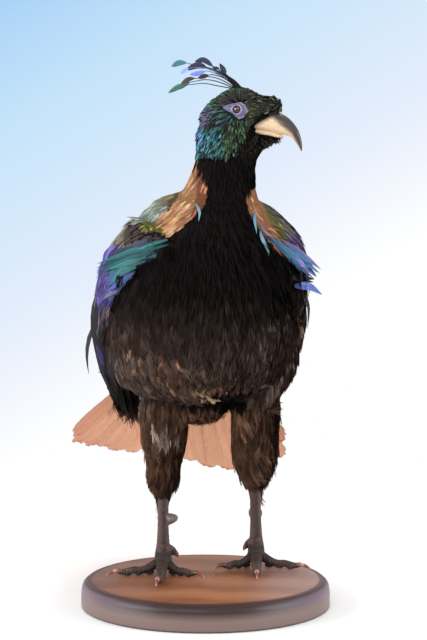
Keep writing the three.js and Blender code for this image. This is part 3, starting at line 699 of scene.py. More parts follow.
def back_tract(x, y, z, normal):
    """The broad feathers of wings and back, or None in front of them."""
    if abs(x - BODY_X) - flank(y, z) > 2.2 and y > -20:
        flow = TURN @ Vector((0, 0.8, -0.75))
        if z > 392:
            return "leaf", 6.0, 20, 10, flow, spread_of(BRONZE + SILVER_SHEEN[:1]), 0.4
        if z > 300:
            colours = VIOLET + VIOLET + TEAL[:1] if y < 40 else VIOLET + TEAL
            return "leaf", 6.0, 21, 10, flow, spread_of(colours), 0.55
        return "leaf", 7.0, 26, 11, flow, spread_of(MAUVE if z > 290 else WARM_BLACK), 0.15
    if normal.y > 0.25 or z > 400 and y > 12:
        flow = TURN @ Vector((0, 0.6, -1))
        if z > 340:
            return "leaf", 7.0, 26, 13, flow, spread_of(BRONZE + OLIVE + GREEN_GOLD[:1]), 0.4
        if z > 252:
            return "leaf", 8.0, 30, 15, flow, spread_of(VIOLET + TEAL), 0.55
        return "tuft", 6.0, 26, 12, flow, spread_of(THIGH_BROWN), 0.0
    return None


# The share of brown fur in the breast, by height.
FUR_SHARE = [(240, 1.0), (275, 0.9), (300, 0.62), (325, 0.26), (350, 0.06), (370, 0)]


def breast_tract(z, across, up, wander):
    """The black breast, which turns to brown fur lower down."""
    flow = TURN @ Vector((0, 0.2, -1))
    for outline, others, share in SOFT_FIELDS:
        if inside(outline, across, up) and draw.random() < share:
            flow = flow + Vector((draw.uniform(-0.5, 0.5), 0, 0))
            return "tuft", 4.4, 20, 9, flow, spread_of(others), 0.0
    fade = straight(FUR_SHARE, z + wander * 24)
    # Towards the bird's left side, which turns away into shade, the fur is painted lighter brown: painted
    # light.
    if across > 50:
        fade += 0.4 * straight([(300, 1.0), (340, 0.0)], z)
    flow = flow + Vector((draw.uniform(-0.6, 0.6) * fade, 0, 0))
    fade = clamp(fade * draw.uniform(0.5, 1.3))
    dark, light = spread_of(BLACK if z > 320 else WARM_BLACK), spread_of(FUR, 0.05)
    return "tuft", 4.4, 23, 10, flow, blend(dark, light, fade), 0.0


def tract(point, normal):
    """What grows at a point of the skin: (kind, spacing, length, width, flow, colour, gloss), or None."""
    x, y, z = TO_BIRD @ point
    local = HEAD_BACK @ point
    if z > HEAD_LOW and local.z > CHIN_LOW:
        return head_tract(local)
    across, up = elevation(point)
    wander = noise.noise(point * 130)
    across += wander * 4
    up += noise.noise(point * 130 + UP * 9) * 4
    if normal.y < 0.5 and z > 285:
        for outline, spacing, length, width, (sideways, upwards), colours, gloss in FIELDS:
            if inside(outline, across, up):
                flow = Vector((sideways, 0.25, upwards))
                return "silk", spacing, length, width, flow, spread_of(colours), gloss
    if z > NECK_LOW:
        return neck_tract(x, y, z)
    if z < 140 and normal.z < -0.6:
        return None
    if z < THIGH_TOP and abs(x - BODY_X) < 99:
        return thigh_tract(x, z, across, up, normal)
    # Fur low on the bird's left flank, which lies in shade, painted 1.2 times as light.
    if across > 62 and up < 322 and y < 70 and normal.y < 0.5:
        colour = tuple(c * 1.2 for c in spread_of(GREY_FUR + FUR, 0.05))
        return "tuft", 4.0, 21, 9, Vector((0, 0.12, -1)), colour, 0.0
    if y > TAIL_FROM and z < TAIL_HIGH:
        if normal.z < -0.3:
            return "tuft", 6.5, 30, 13, TURN @ TAIL_AXIS, spread_of(WARM_BLACK), 0.0
        colours = TEAL + BRONZE[:1] if y < 165 else TEAL[:2] + COPPER[:1] + RED_COPPER
        return "leaf", 5.4, 32, 13, TURN @ TAIL_AXIS, spread_of(colours), 0.35
    if normal.y < 0.4 and inside(PRIMARIES, across, up):
        return None
    return back_tract(x, y, z, normal) or breast_tract(z, across, up, wander)


# The bare patch round an eye: forward and up from the eye.
KITE = [(-19, 3.3), (-9.4, -3.3), (1.2, -11), (7, -9), (13, -2.2), (8.2, 5.5), (3.5, 8.2), (-5.9, 6.6)]


# ---------------------------------------------------------------- feathers
def vane_sheet(across, along):
    """A flat unit square with its UV map."""
    bm = bmesh.new()
    bmesh.ops.create_grid(bm, x_segments=across, y_segments=along, size=0.5)
    uv = bm.loops.layers.uv.new("vane")
    for face in bm.faces:
        for loop in face.loops:
            loop[uv].uv = (loop.vert.co.x + 0.5, loop.vert.co.y + 0.5)
    return bm


def vane_grid(across, along, outline, drop=1.0, cup=0.3):
    """A feather of unit length and width along +Y from the origin, with its UV map."""
    bm = vane_sheet(across, along)
    for vert in bm.verts:
        u, v = vert.co.x * 2, vert.co.y + 0.5
        vert.co = (u * outline(v) / 2, v, -drop * v * v - cup * u * u * outline(v))
    return bm


def lance_outline(v):
    return max(0.06, (0.4 + 0.6 * min(1, v / 0.35)) * (1 - max(0, v - 0.35) ** 1.5 * 1.85))


def tuft_template(seed, strands=7, breadth=0.16):
    """A loose feather: strands that fan out from one root, each a narrow strip."""
    own = random.Random(seed)
    bm = bmesh.new()
    uv = bm.loops.layers.uv.new("vane")
    for i in range(strands):
        share = (i + 0.5) / strands * 2 - 1
        reach = 1 - abs(share) * 0.3 - own.uniform(0, 0.15)
        curl = own.uniform(-0.16, 0.16)
        lift = own.uniform(0, 0.35)
        verts = bmesh.ops.create_grid(bm, x_segments=1, y_segments=4, size=0.5)["verts"]
        for face in faces_of(verts):
            for loop in face.loops:
                loop[uv].uv = ((i + loop.vert.co.x + 0.5) / strands, loop.vert.co.y + 0.5)
        for vert in verts:
            u, v = vert.co.x, vert.co.y + 0.5
            wide = breadth * (1.05 - v) + 0.012
            x = share * 0.5 * (0.15 + 0.85 * v) + curl * v * v + u * wide
            vert.co = (x, v * reach, -v * v + lift * v + u * 0.1)
    return mesh_of(bm, "tuft")


def leaf_outline(v):
    return (0.4 + 0.6 * min(1, v / 0.4)) * (1 if v < 0.5 else max(0.05, 1 - ((v - 0.5) / 0.5) ** 2.2))


def curl_outline(v):
    return max(0.1, math.sin(math.pi * min(1, 0.12 + v * 0.84)) ** 0.7)


TEMPLATES = {
    "leaf": [mesh_of(vane_grid(4, 5, leaf_outline), "leaf")],
    "lance": [mesh_of(vane_grid(2, 8, lance_outline), "lance")],
    "curl": [mesh_of(vane_grid(2, 4, curl_outline, 0.6, -0.5), "curl")],
    "silk": [tuft_template(seed, 7, 0.3) for seed in range(20, 25)],
    "tuft": [tuft_template(seed, 9, 0.13) for seed in range(5)],
}


class Plumage:
    """Feathers planted one by one and gathered into one piece."""

    def __init__(self):
        self.bm = bmesh.new()
        self.planted = []

    def plant(self, template, place, colour, gloss):
        """place is a matrix, or a function that gives each point of the feather its place."""
        copy = template.copy()
        if isinstance(place, Matrix):
            copy.transform(place)
        else:
            for vert in copy.vertices:
                vert.co = place(vert.co)
        self.bm.from_mesh(copy)
        bpy.data.meshes.remove(copy)
        self.planted.append((template, (*colour, gloss)))

    def show(self, name, finish, slot, stands_for=()):
        mesh = mesh_of(self.bm, name)
        columns = math.ceil(math.sqrt(len(self.planted)))
        tints, cells = [], []
        for i, (template, colour) in enumerate(self.planted):
            tints.append(np.tile(np.array(colour, "f"), (len(template.vertices), 1)))
            own = np.empty(len(template.loops) * 2, "f")
            template.uv_layers["vane"].data.foreach_get("uv", own)
            corner = np.array([i % columns, i // columns], "f")
            cells.append((own.reshape(-1, 2) * 0.88 + 0.06 + corner) / columns)
        tint = mesh.color_attributes.new("tint", "FLOAT_COLOR", "POINT")
        tint.data.foreach_set("color", np.concatenate(tints).ravel())
        bake = mesh.uv_layers.new(name="OFBake")
        bake.data.foreach_set("uv", np.concatenate(cells).astype("f").ravel())
        return shown(name, mesh, finish, slot, stands_for)


def lie(point, normal, flow, length, width, tilt, drop):
    """The place of a feather that lies along a flow from a point. drop is how far its tip bends in."""
    flow = (flow - normal * flow.dot(normal)).normalized()
    side = flow.cross(normal)
    along = flow * math.cos(tilt) + normal * math.sin(tilt)
    made = Matrix((side * width * MM, along * length * MM, normal * drop * MM)).transposed().to_4x4()
    return Matrix.Translation(point) @ made


def along_path(path, normals, width, thick):
    """Bends a feather of unit length along a path. thick is how far its own relief stands off."""

    def place(co):
        share = min(0.9999, max(0.0, co.y)) * (len(path) - 1)
        low = int(share)
        t = share - low
        heading = (path[low + 1] - path[low]).normalized()
        normal = normals[low].lerp(normals[low + 1], t).normalized()
        side = heading.cross(normal).normalized()
        return path[low].lerp(path[low + 1], t) + side * co.x * width * MM + normal * co.z * thick * MM

    return place


def piece_for(kind, point):
    """The name of the piece that a planted feather belongs to."""
    x, y, z = TO_BIRD @ point
    local = HEAD_BACK @ point
    if z > HEAD_LOW and local.z > CHIN_LOW:
        return "head"
    if y > TAIL_FROM and z < TAIL_HIGH:
        return "under_tail" if kind == "tuft" else "upper_tail"
    if kind == "silk" and z < NECK_LOW:
        return "right_wing" if x < BODY_X else "left_wing"
    if z > NECK_LOW:
        return "throat" if kind == "tuft" else "neck"
    if z < THIGH_TOP and abs(x - BODY_X) < 99:
        return "right_leg" if x < 12 else "left_leg"
    if kind == "tuft":
        return "breast" if y < 20 else "belly"
    if abs(x - BODY_X) - flank(y, z) > 2.2 and z < 428:
        return "right_wing" if x < BODY_X else "left_wing"
    return "back"


# How each kind is planted: how far its flow strays, how it stands off, and how its tip bends in.
PLANTING = {
    "tuft": (0.2, 0.24, 0.2), "silk": (0.09, 0.1, 0.13), "curl": (0.16, 0.3, 0.2), "leaf": (0.1, 0.13, 0.12),
}


def plant_all():
    """Plants feathers over the skin, each kept clear of those before it, and groups them into pieces."""
    groups = {}
    order = list(range(len(skin_mesh.polygons)))
    draw.shuffle(order)
    taken = {}
    cell = 9 * MM
    for index in order:
        face = skin_mesh.polygons[index]
        point = face.center.copy()
        normal = face.normal.copy()
        grown = tract(point, normal)
        if not grown:
            continue
        kind, spacing, length, width, flow, colour, gloss = grown
        key = tuple(int(math.floor(c / cell)) for c in point)
        near = (
            other
            for i in (-1, 0, 1)
            for j in (-1, 0, 1)
            for k in (-1, 0, 1)
            for other in taken.get((key[0] + i, key[1] + j, key[2] + k), ())
        )
        gap = (spacing * MM) ** 2
        if any((other - point).length_squared < gap for other in near):
            continue
        taken.setdefault(key, []).append(point)
        if (TO_BIRD @ point).y > 120 and abs(flow.normalized().dot(normal)) > 0.8:
            # Here a feather would stand up like a spike.
            continue
        wild, tilt, bend = PLANTING[kind]
        flow = flow.normalized() + Vector([draw.uniform(-wild, wild) for _ in range(3)])
        size = draw.uniform(0.85, 1.15)
        tilt += draw.uniform(-0.03, 0.05)
        place = lie(point - normal * 0.4 * MM, normal, flow, length * size, width * size, tilt, length * bend)
        group = groups.setdefault(piece_for(kind, point), Plumage())
        group.plant(draw.choice(TEMPLATES[kind]), place, colour, gloss)
    return groups


plumage = plant_all()
skin_tree = BVHTree.FromPolygons([v.co for v in skin_mesh.vertices], [p.vertices for p in skin_mesh.polygons])
TEAL_TIP = hues((56, 126, 128), (76, 138, 140))
SKY = hues((104, 128, 200), (84, 106, 172))
BLUE = hues((56, 108, 152), (78, 132, 176))
LILAC = hues((112, 112, 168), (124, 122, 162))
ICE = hues((132, 186, 208), (116, 170, 190))
NIGHT = hues((40, 36, 42), (30, 27, 32))
# Long feathers drawn one by one in the front elevation, root to tip.
# Each has its wing, points, width, colours, gloss and how far it stands off.
LONG_FEATHERS = [
    ("right", [(-100, 300), (-98, 270), (-88, 236), (-80, 204)], 13, NIGHT, 0.15, 1.2),
    ("right", [(-106, 312), (-106, 278), (-97, 240), (-86, 205)], 13, NIGHT, 0.15, 1.8),
    ("right", [(-112, 330), (-113, 294), (-104, 256), (-93, 215)], 12, NIGHT, 0.15, 2.4),
    ("right", [(-117, 336), (-118, 302), (-110, 262), (-99, 224)], 11, NIGHT, 0.15, 3.0),
    ("right", [(-120, 344), (-121, 314), (-114, 272), (-104, 232)], 9, NIGHT + MAUVE[:1], 0.15, 3.6),
    ("right", [(-117, 298), (-113, 281), (-109, 262)], 7, VIOLET[:2], 0.5, 5.0),
    ("right", [(-113, 274), (-107, 259), (-101, 242)], 3.5, MAUVE, 0.2, 5.0),
    ("right", [(-50, 407), (-72, 401), (-94, 392)], 7, SLATE, 0.3, 2.0),
    ("right", [(-59, 401), (-79, 393), (-103, 383)], 8, SLATE, 0.3, 2.4),
    ("right", [(-42, 404), (-59, 399), (-76, 392)], 5, TEAL_TIP, 0.5, 3.6),
    ("right", [(-54, 396), (-81, 391), (-115, 378)], 8.5, TEAL[:3], 0.35, 3.6),
    ("right", [(-59, 391), (-85, 382), (-110, 373)], 8, TEAL[:3], 0.35, 3.0),
    ("right", [(-64, 386), (-87, 378), (-108, 370)], 6, TEAL_TIP, 0.5, 4.2),
    ("right", [(-76, 376), (-92, 369), (-103, 355)], 8, SKY + TEAL, 0.5, 3.4),
    ("right", [(-79, 371), (-94, 360), (-106, 350)], 7, SKY, 0.5, 4.0),
    ("right", [(-90, 372), (-101, 365), (-106, 354)], 5, SKY, 0.5, 4.6),
    ("right", [(-92, 354), (-102, 348), (-110, 340)], 7, SLATE + LILAC, 0.4, 3.0),
    ("right", [(-100, 354), (-109, 343), (-115, 333)], 7, VIOLET[:3], 0.5, 3.6),
    ("right", [(-105, 343), (-112, 332), (-114, 322)], 7, VIOLET[:2], 0.5, 3.0),
    ("right", [(-104, 398), (-110, 388), (-113, 374)], 6, VIOLET[2:3], 0.5, 3.4),
    ("right", [(-96, 400), (-103, 391), (-108, 378)], 6, VIOLET[:3], 0.5, 3.4),
    ("right", [(-10, 444), (-6, 434), (-7, 423)], 3.6, ICE, 0.4, 4.0),
    ("left", [(53, 436), (52, 424), (54, 410)], 4, ICE, 0.4, 4.0),
    ("left", [(59, 414), (62, 402), (67, 390)], 4.6, ICE, 0.4, 4.0),
    ("left", [(56, 426), (64, 413), (75, 401)], 3.4, LILAC, 0.4, 3.6),
    ("left", [(66, 411), (84, 394), (104, 370)], 8, BLUE, 0.5, 3.0),
    ("left", [(78, 402), (95, 387), (108, 375)], 7, BLUE, 0.5, 3.8),
    ("left", [(84, 402), (104, 388), (122, 373)], 9, LILAC, 0.3, 4.6),
    ("left", [(91, 386), (105, 377), (118, 365)], 8, SKY + LILAC, 0.5, 3.4),
    ("left", [(95, 392), (109, 380), (118, 370)], 7, BLUE, 0.5, 4.4),
    ("left", [(92, 366), (105, 364), (117, 362)], 9, NIGHT, 0.1, 2.4),
    ("left", [(97, 357), (111, 354), (124, 345)], 11, SKY + LILAC[:1], 0.5, 3.8),
    ("left", [(109, 348), (112, 330), (110, 308)], 4.4, NIGHT + VIOLET[1:2], 0.2, 2.0),
    ("right", [(-92, 292), (-86, 264), (-78, 240), (-72, 213)], 12, NIGHT, 0.15, 1.0),
    ("right", [(-84, 288), (-78, 262), (-71, 236), (-66, 214)], 12, NIGHT, 0.15, 1.0),
]


def long_feather(wing, points, width, colours, gloss, lift):
    """Casts a line of the front elevation onto the skin and lays a feather along it."""
    path, normals = [], []
    depth, normal = 20.0, Vector((0, -1, 0))
    for across, up in along_rows(points, 10):
        start = VIEW * MM
        aim = at_depth(across, up, 0) - start
        hit, found, _, _ = skin_tree.ray_cast(start, aim.normalized())
        if hit and found.y < -0.25 and hit.y < 0.1:
            # A line that slips off the edge keeps the depth that it had.
            depth, normal = hit.y / MM, found
        path.append(at_depth(across, up, depth) + normal * (lift - 1.5 + 2.5 * len(path) / 10) * MM)
        normals.append(Vector((normal.x * 0.5, normal.y - 0.6, normal.z * 0.5)).normalized())
    place = along_path(path, normals, width, 1.2)
    plumage[f"{wing}_wing"].plant(TEMPLATES["lance"][0], place, spread_of(colours), gloss)


for wing, points, width, colours, gloss, lift in LONG_FEATHERS:
    long_feather(wing, points, width * 0.86, colours, gloss, lift)
    # Under each middling feather lies a narrower copy at 0.55 of its colours: painted shade beneath it.
    if 4.5 < width < 9.5:
        slip = Vector((draw.uniform(-2, 2), draw.uniform(-5, -2)))
        under = [(a + slip.x, b + slip.y) for a, b in points]
        shaded = [[c * 0.55 for c in colour] for colour in colours]
        long_feather(wing, under, width * 0.7, shaded, gloss * 0.6, lift - 1)
# One loose feather stands clear of the wing.
STRAY = [(-96, 338), (-114, 324), (-128, 298), (-131, 276), (-129, 258)]
stray = [at_depth(across, up, 60) for across, up in along_rows(STRAY, 10)]
stray_place = along_path(stray, [Vector((-0.3, -1, 0))] * len(stray), 6, 1)
plumage["right_wing"].plant(TEMPLATES["lance"][0], stray_place, linear(52, 52, 54), 0.1)
STANDS_FOR = {
    "head": ("crown_feathers", gloss_feathers, ()),
    "neck": ("neck_feathers", gloss_feathers, ("neck_skin",)),
    "throat": ("dark_feathers", soft_feathers, ()),
    "breast": ("dark_feathers", soft_feathers, ()),
    "belly": ("dark_feathers", soft_feathers, ()),
    "back": ("wing_feathers", gloss_feathers, ()),
    "right_wing": ("wing_feathers", gloss_feathers, tuple(f"right_{part}" for part in WING_PARTS)),
    "left_wing": ("wing_feathers", gloss_feathers, tuple(f"left_{part}" for part in WING_PARTS)),
    "upper_tail": ("wing_feathers", gloss_feathers, ("upper_tail_coverts",)),
    "under_tail": ("dark_feathers", soft_feathers, ("under_tail_coverts",)),
    "right_leg": ("dark_feathers", soft_feathers, ("right_thigh",)),
    "left_leg": ("dark_feathers", soft_feathers, ("left_thigh",)),
}
for group, feathers in plumage.items():
    slot, finish, nodes = STANDS_FOR[group]
    feathers.show(f"{group}_feathers", finish, slot, nodes)


def down_colour(co, normal):
    """The skin's colour where it shows between feathers: the fields' mean colours darkened as painted shade,
    painted shadow in the hollow, and dark plumage colours elsewhere.
    """
    z = (TO_BIRD @ co).z
    local = HEAD_BACK @ co
    on_head = z > HEAD_LOW and local.z > CHIN_LOW
    across, up = elevation(HEAD @ Vector((-abs(local.x), local.y, local.z)) if on_head else co)
    if on_head or normal.y < 0.5:
        for row in HEAD_FIELDS if on_head else FIELDS:
            if inside(row[0], across, up):
                mean = [sum(colour[i] for colour in row[-2]) / len(row[-2]) for i in range(3)]
                # The field's mean colour, darkened as painted shade between the feathers.
                return (*[c * (0.35 if on_head else 0.5) for c in mean], 0)
    if z > 430:
        return (*(linear(70, 64, 38) if normal.y > 0.15 and not on_head else linear(13, 10, 10)), 0)
    # Painted shadow in the hollow between the thighs.
    if inside(SOFT_FIELDS[1][0], across, up):
        return (*HOLLOW_SHADOW[0], 0)
    if normal.y > 0.2 and z > 250:
        return (*linear(44, 42, 34), 0)
    fade = straight([(295, 1.0), (345, 0.0)], z)
    return (*blend(linear(18, 14, 13), linear(52, 40, 34), fade), 0)


shown("bird_skin", skin_mesh, down_skin, "dark_feathers", ("body_skin", "head_skin"), down_colour)


# ---------------------------------------------------------------- base
def turned_base():
    bm = bmesh.new()
    bottom = BASE_TOP - 27
    corner = BASE_TOP - 1.6
    profile = [(0, bottom), (134.3, bottom), (134.4, 0.4), (136.8, 0.4), (137.6, 0.9), (138, 2.2)]
    profile += [(138, corner - 11), (137.4, corner - 8.6)]
    profile += [
        (131.6 + 5.8 * math.cos(math.radians(a)), corner - 8.6 + 8.6 * math.sin(math.radians(a)))
        for a in range(10, 91, 10)
    ]
    profile += [(131.4, BASE_TOP - 0.3), (130.6, BASE_TOP), (0, BASE_TOP)]
    verts = [bm.verts.new((r, 0, z)) for r, z in profile]
    edges = [bm.edges.new(pair) for pair in zip(verts, verts[1:])]
    bmesh.ops.spin(
        bm, geom=verts + edges, cent=(0, 0, 0), axis=UP, angle=2 * math.pi, steps=160, use_merge=True
    )
    bmesh.ops.remove_doubles(bm, verts=bm.verts, dist=0.01)
    bmesh.ops.recalc_face_normals(bm, faces=bm.faces)
    return bm


def walnut_finish():
    made = Finish("oiled_walnut", specular_ior_level=0.35, coat_weight=0.16, coat_roughness=0.3)
    place = made.place()
    wander = made.noise(14, 3, place)
    x, y, z = (made.axis(place, i) for i in range(3))
    rings = ((y * 90 + wander * 5 + x * 4).sine()) * 0.5 + 0.5
    pores = made.noise(260, 2, place, (0.06, 1, 1)).over(0.55, 0.7)
    broad = made.noise(7, 2, place, (0.5, 1, 1))
    browns = hues((98, 58, 40), (138, 86, 58), (158, 104, 72), (170, 116, 82))
    ramp = made.ramp(list(zip((0.1, 0.45, 0.65, 1.0), browns)), rings * 0.35 + broad * 0.55 + 0.1)
    top = z.over(0.0291, 0.0293)
    rim = made.node("ShaderNodeVectorMath", {"operation": "LENGTH"}, {0: place}, 1)
    # The shoulder: dark brown, turning lilac-grey towards left and right as a painted reflection of the side
    # lamps.
    edge = abs(x).over(0.05, 0.13)
    # The top grows darker towards its left edge, and towards its right edge it takes a painted reflection of
    # white light.
    ramp = made.mix(x.over(-0.04, -0.13) * 0.75, ramp, linear(84, 58, 54))
    ramp = made.mix(x.over(0.03, 0.13) * 0.55, ramp, linear(160, 142, 144))
    shoulder = made.mix(edge, linear(42, 27, 24), linear(106, 90, 100))
    side = made.mix(z.over(0.012, 0.021), linear(116, 96, 91), shoulder)
    top_and_side = made.mix(top, side, ramp)
    # A dark band just below the top edge: painted shade on the narrow step there.
    arris_shade = rim.over(0.1285, 0.1305) * z.over(0.0262, 0.0275) * 0.8
    # Darker towards the bottom: painted shade where the base meets the floor.
    bottom_shade = (1 - z.over(0.0008, 0.0026)) * 0.8
    colour = made.mix(arris_shade, top_and_side, linear(58, 32, 32))
    colour = made.mix(bottom_shade, colour, linear(40, 30, 30))
    made.feed(
        Base_Color=made.mix(pores * top * 0.3, colour, linear(70, 42, 34)),
        Roughness=wander * 0.15 + 0.4,
        Normal=made.bump(rings * 0.1 - pores * top * 0.2, 0.15, 0.0003),
    )
    return made.material


piece("turned_base", turned_base(), Matrix.Scale(MM, 4), walnut_finish(), "walnut", ("base_disc",))


# ---------------------------------------------------------------- feet
def ramp_paint(rows, share):
    """A colour read off a list of (share, colour)."""
    for (a, low), (b, high) in zip(rows, rows[1:]):
        if share <= b:
            return blend(low, high, max(0.0, (share - a) / (b - a)))
    return rows[-1][1]


# The tarsus: its dark colour, and a lighter grey painted as light on its sides.
LEG_SIDE_LIT, LEG_DARK = hues((110, 88, 84), (40, 30, 29))
TOE_DARK, TOE_PALE = hues((48, 34, 29), (142, 124, 116))
SPUR_GREY = linear(108, 94, 88)
CLAW = list(zip((0, 0.4, 0.8, 1), hues((66, 36, 28), (112, 58, 42), (150, 88, 66), (206, 166, 150))))
# Each toe: its turn from the heading, its length to the claw, its thickness and its claw's length.
TOES = [(70, 51, 4.1, 15), (0, 60, 4.8, 16), (-62, 42, 4.0, 14)]
HEADINGS = {"right": -13, "left": -9}
SPUR_TURN = {"right": 0.8, "left": 0.1}
# The shin: share of the way up and two half widths. The ball of the foot: height and half width.
SHIN = (
    (-0.06, 7, 7), (0.04, 9.2, 8.8), (0.14, 8.6, 8.4), (0.26, 7.1, 7.4), (0.5, 6.1, 6.6), (0.85, 6.2, 6.8),
    (1.04, 7.6, 8.4),
)
FOOT_BALL = ((-9, 5), (-6, 8.6), (-1, 10.4), (5, 9.6), (10, 8), (16, 5))
# Share of the claw's length, height over its root, and width as a share of the toe's thickness.
CLAW_ROWS = ((-0.25, 1.2, 0.5), (0, 1.8, 0.62), (0.35, 1.9, 0.5), (0.72, 0.1, 0.3), (1.0, -2.6, 0.08))
HIND_LENGTH, HIND_CLAW, HIND_TURN, HIND_RISE = 20, 11, -152, 14
HIND_TOE = ((-0.15, 1, 6), (0.2, 1.2, 5.6), (0.6, -1.4, 5.2), (1, -5.6, 4.6))
HIND_CLAW_ROWS = ((-0.2, -5, 3.4), (0.2, -6.4, 3.4), (0.7, -10, 2.4), (1, -14.4, 0.35))
SPUR = ((0, 8), (7, 7), (13, 5.6), (18, 3.6), (20, 1))


def toe_rows(ball, aim, length, thick):
    tip = BASE_TOP + thick * 0.9
    rows = [
        (0, ball.z + 1, thick * 1.5), (0.16, ball.z - 1.5, thick * 1.42), (0.34, tip + 3.4, thick * 1.24),
        (0.5, tip + 1.6, thick * 1.12), (0.66, tip + 2.2, thick * 1.04), (0.84, tip + 0.8, thick * 0.96),
        (1.0, tip + 0.8, thick * 0.66),
    ]
    return [(*(ball + aim * length * share).xy, z, w, w * 0.92) for share, z, w in rows]


def direction(degrees):
    turn = math.radians(degrees)
    return Vector((math.sin(turn), -math.cos(turn), 0))


def scutes(count, deep):
    """The rings of scales round a limb, as a swell along it."""
    return lambda share: 1 + deep * abs(math.sin(math.pi * share * count)) ** 0.6


def front_toe(scales, claws, ball, aim, length, thick, claw):
    limb(scales, toe_rows(ball, aim, length, thick), 16, 84, front=UP, swell=scutes(22, 0.02))
    low = BASE_TOP + thick * 0.62
    for share in (0.3, 0.55, 0.8):
        knob = ball + aim * length * share
        pad = ((-5, 1), (-2.6, thick * 0.86), (2.6, thick * 0.9), (5, 1))
        limb(scales, [(*(knob + aim * d).xy, low, w, w * 0.62) for d, w in pad], 12, 8, front=UP)
    tip = ball + aim * length
    rows = [
        (*(tip + aim * claw * s).xy, BASE_TOP + thick * 0.9 + h, thick * w, thick * w * 1.1)
        for s, h, w in CLAW_ROWS
    ]
    limb(claws, rows, 14, 18, front=UP)


def hind_toe(scales, claws, root, aim):
    rows = [(*(root + aim * HIND_LENGTH * s).xy, root.z + h, w, w) for s, h, w in HIND_TOE]
    limb(scales, rows, 14, 30, front=UP, swell=scutes(5, 0.07))
    tip = root + aim * HIND_LENGTH
    rows = [(*(tip + aim * HIND_CLAW * s).xy, root.z + h, w, w * 1.1) for s, h, w in HIND_CLAW_ROWS]
    limb(claws, rows, 12, 14, front=UP)


def make_foot(side):
    """A tarsus with its toes in one piece, and its claws and spur in another."""
    ball, turn = BALLS[side], TURNS[side]
    shin = HOCKS[side] - ball
    scales, claws = bmesh.new(), bmesh.new()
    limb(scales, [(*(ball + shin * s), w, d) for s, w, d in SHIN], 20, 72, swell=scutes(22, 0.05))
    limb(scales, [(*ball + Vector((0, 0, z)), w, w) for z, w in FOOT_BALL], 20, 14, level=True)
    for toe_turn, length, thick, claw in TOES:
        front_toe(scales, claws, ball, direction(HEADINGS[side] + turn * toe_turn), length, thick, claw)
    hind_toe(scales, claws, ball + UP * HIND_RISE, direction(HEADINGS[side] + turn * HIND_TURN))
    inward = direction(HEADINGS[side] + 180) * 0.5 + Vector((-turn * SPUR_TURN[side], 0, 0))
    inward.normalize()
    at = ball + shin * 0.56
    limb(claws, [(*(at + inward * d), w, w) for d, w in SPUR], 14, 14, front=UP)
    ends = [length + claw for _, length, _, claw in TOES] + [HIND_LENGTH + HIND_CLAW]

    def scale_paint(co, normal):
        spot = TO_BIRD @ co
        if spot.z > ball.z + 12:
            # Lighter on faces turned to left and right: painted light from the side lamps, with mottling.
            side_lit = abs((BIRD.to_3x3().inverted() @ normal).normalized().x)
            mottle = noise.noise(spot * 0.45) * 0.35
            return (*blend(LEG_DARK, LEG_SIDE_LIT, clamp(0.12 + 0.8 * side_lit + mottle)), 0)
        out = (spot - ball).xy.length
        ridge = (0.5 + 0.5 * math.sin(out * 2.1)) * (0.6 + 0.6 * noise.noise(spot * 0.2))
        return (*blend(TOE_DARK, TOE_PALE, ridge * min(0.8, out / 55)), 0)

    def claw_paint(co, normal):
        spot = TO_BIRD @ co
        if spot.z > ball.z + 14:
            return (*SPUR_GREY, 0)
        out = (spot - ball).xy.length
        left = min((abs(end - out) for end in ends if out <= end + 2), default=0)
        return (*ramp_paint(CLAW, 1 - min(1, left / 14)), 0)

    piece(f"{side}_leg_scales", scales, BIRD, scaled_leg, "leg_scales", (f"{side}_foot",), scale_paint)
    piece(f"{side}_claws", claws, BIRD, claw_horn, "horn", (f"{side}_spur",), claw_paint)


for side in TURNS:
    make_foot(side)


# ---------------------------------------------------------------- bill and eyes
# How far ahead, how high, half width and half height, in the head's own frame.
UPPER_BILL = [
    (18, -15.5, 12, 4), (26, -14, 12.2, 6.5), (34, -12.6, 11.4, 9.6), (43.5, -12.2, 9.8, 11.6),
    (52.5, -15.2, 8, 10.4), (59.2, -18.6, 6.2, 8), (64, -22.4, 4.9, 6), (67.1, -26.4, 3.9, 4.6),
    (69.9, -31.8, 2.9, 3.4),
    (72.2, -37.5, 1.8, 1.9), (73.3, -42.4, 0.5, 0.5),
]
LOWER_BILL = [
    (18, -19.2, 7, 4), (30, -22, 6.4, 4.2), (42, -24.6, 4.8, 3.6), (49, -26.6, 2.6, 2), (53, -27.6, 0.8, 0.6),
]
# How far ahead, and how high the pale sides of the bill reach there.
PALE_TO = [(20, -18), (43, -6), (53.6, -15), (64, -23.5), (71.8, -38), (75, -50)]
BILL_SIDE, BILL_TIP, BILL_RIDGE = hues((232, 202, 166), (170, 136, 112), (44, 36, 37))


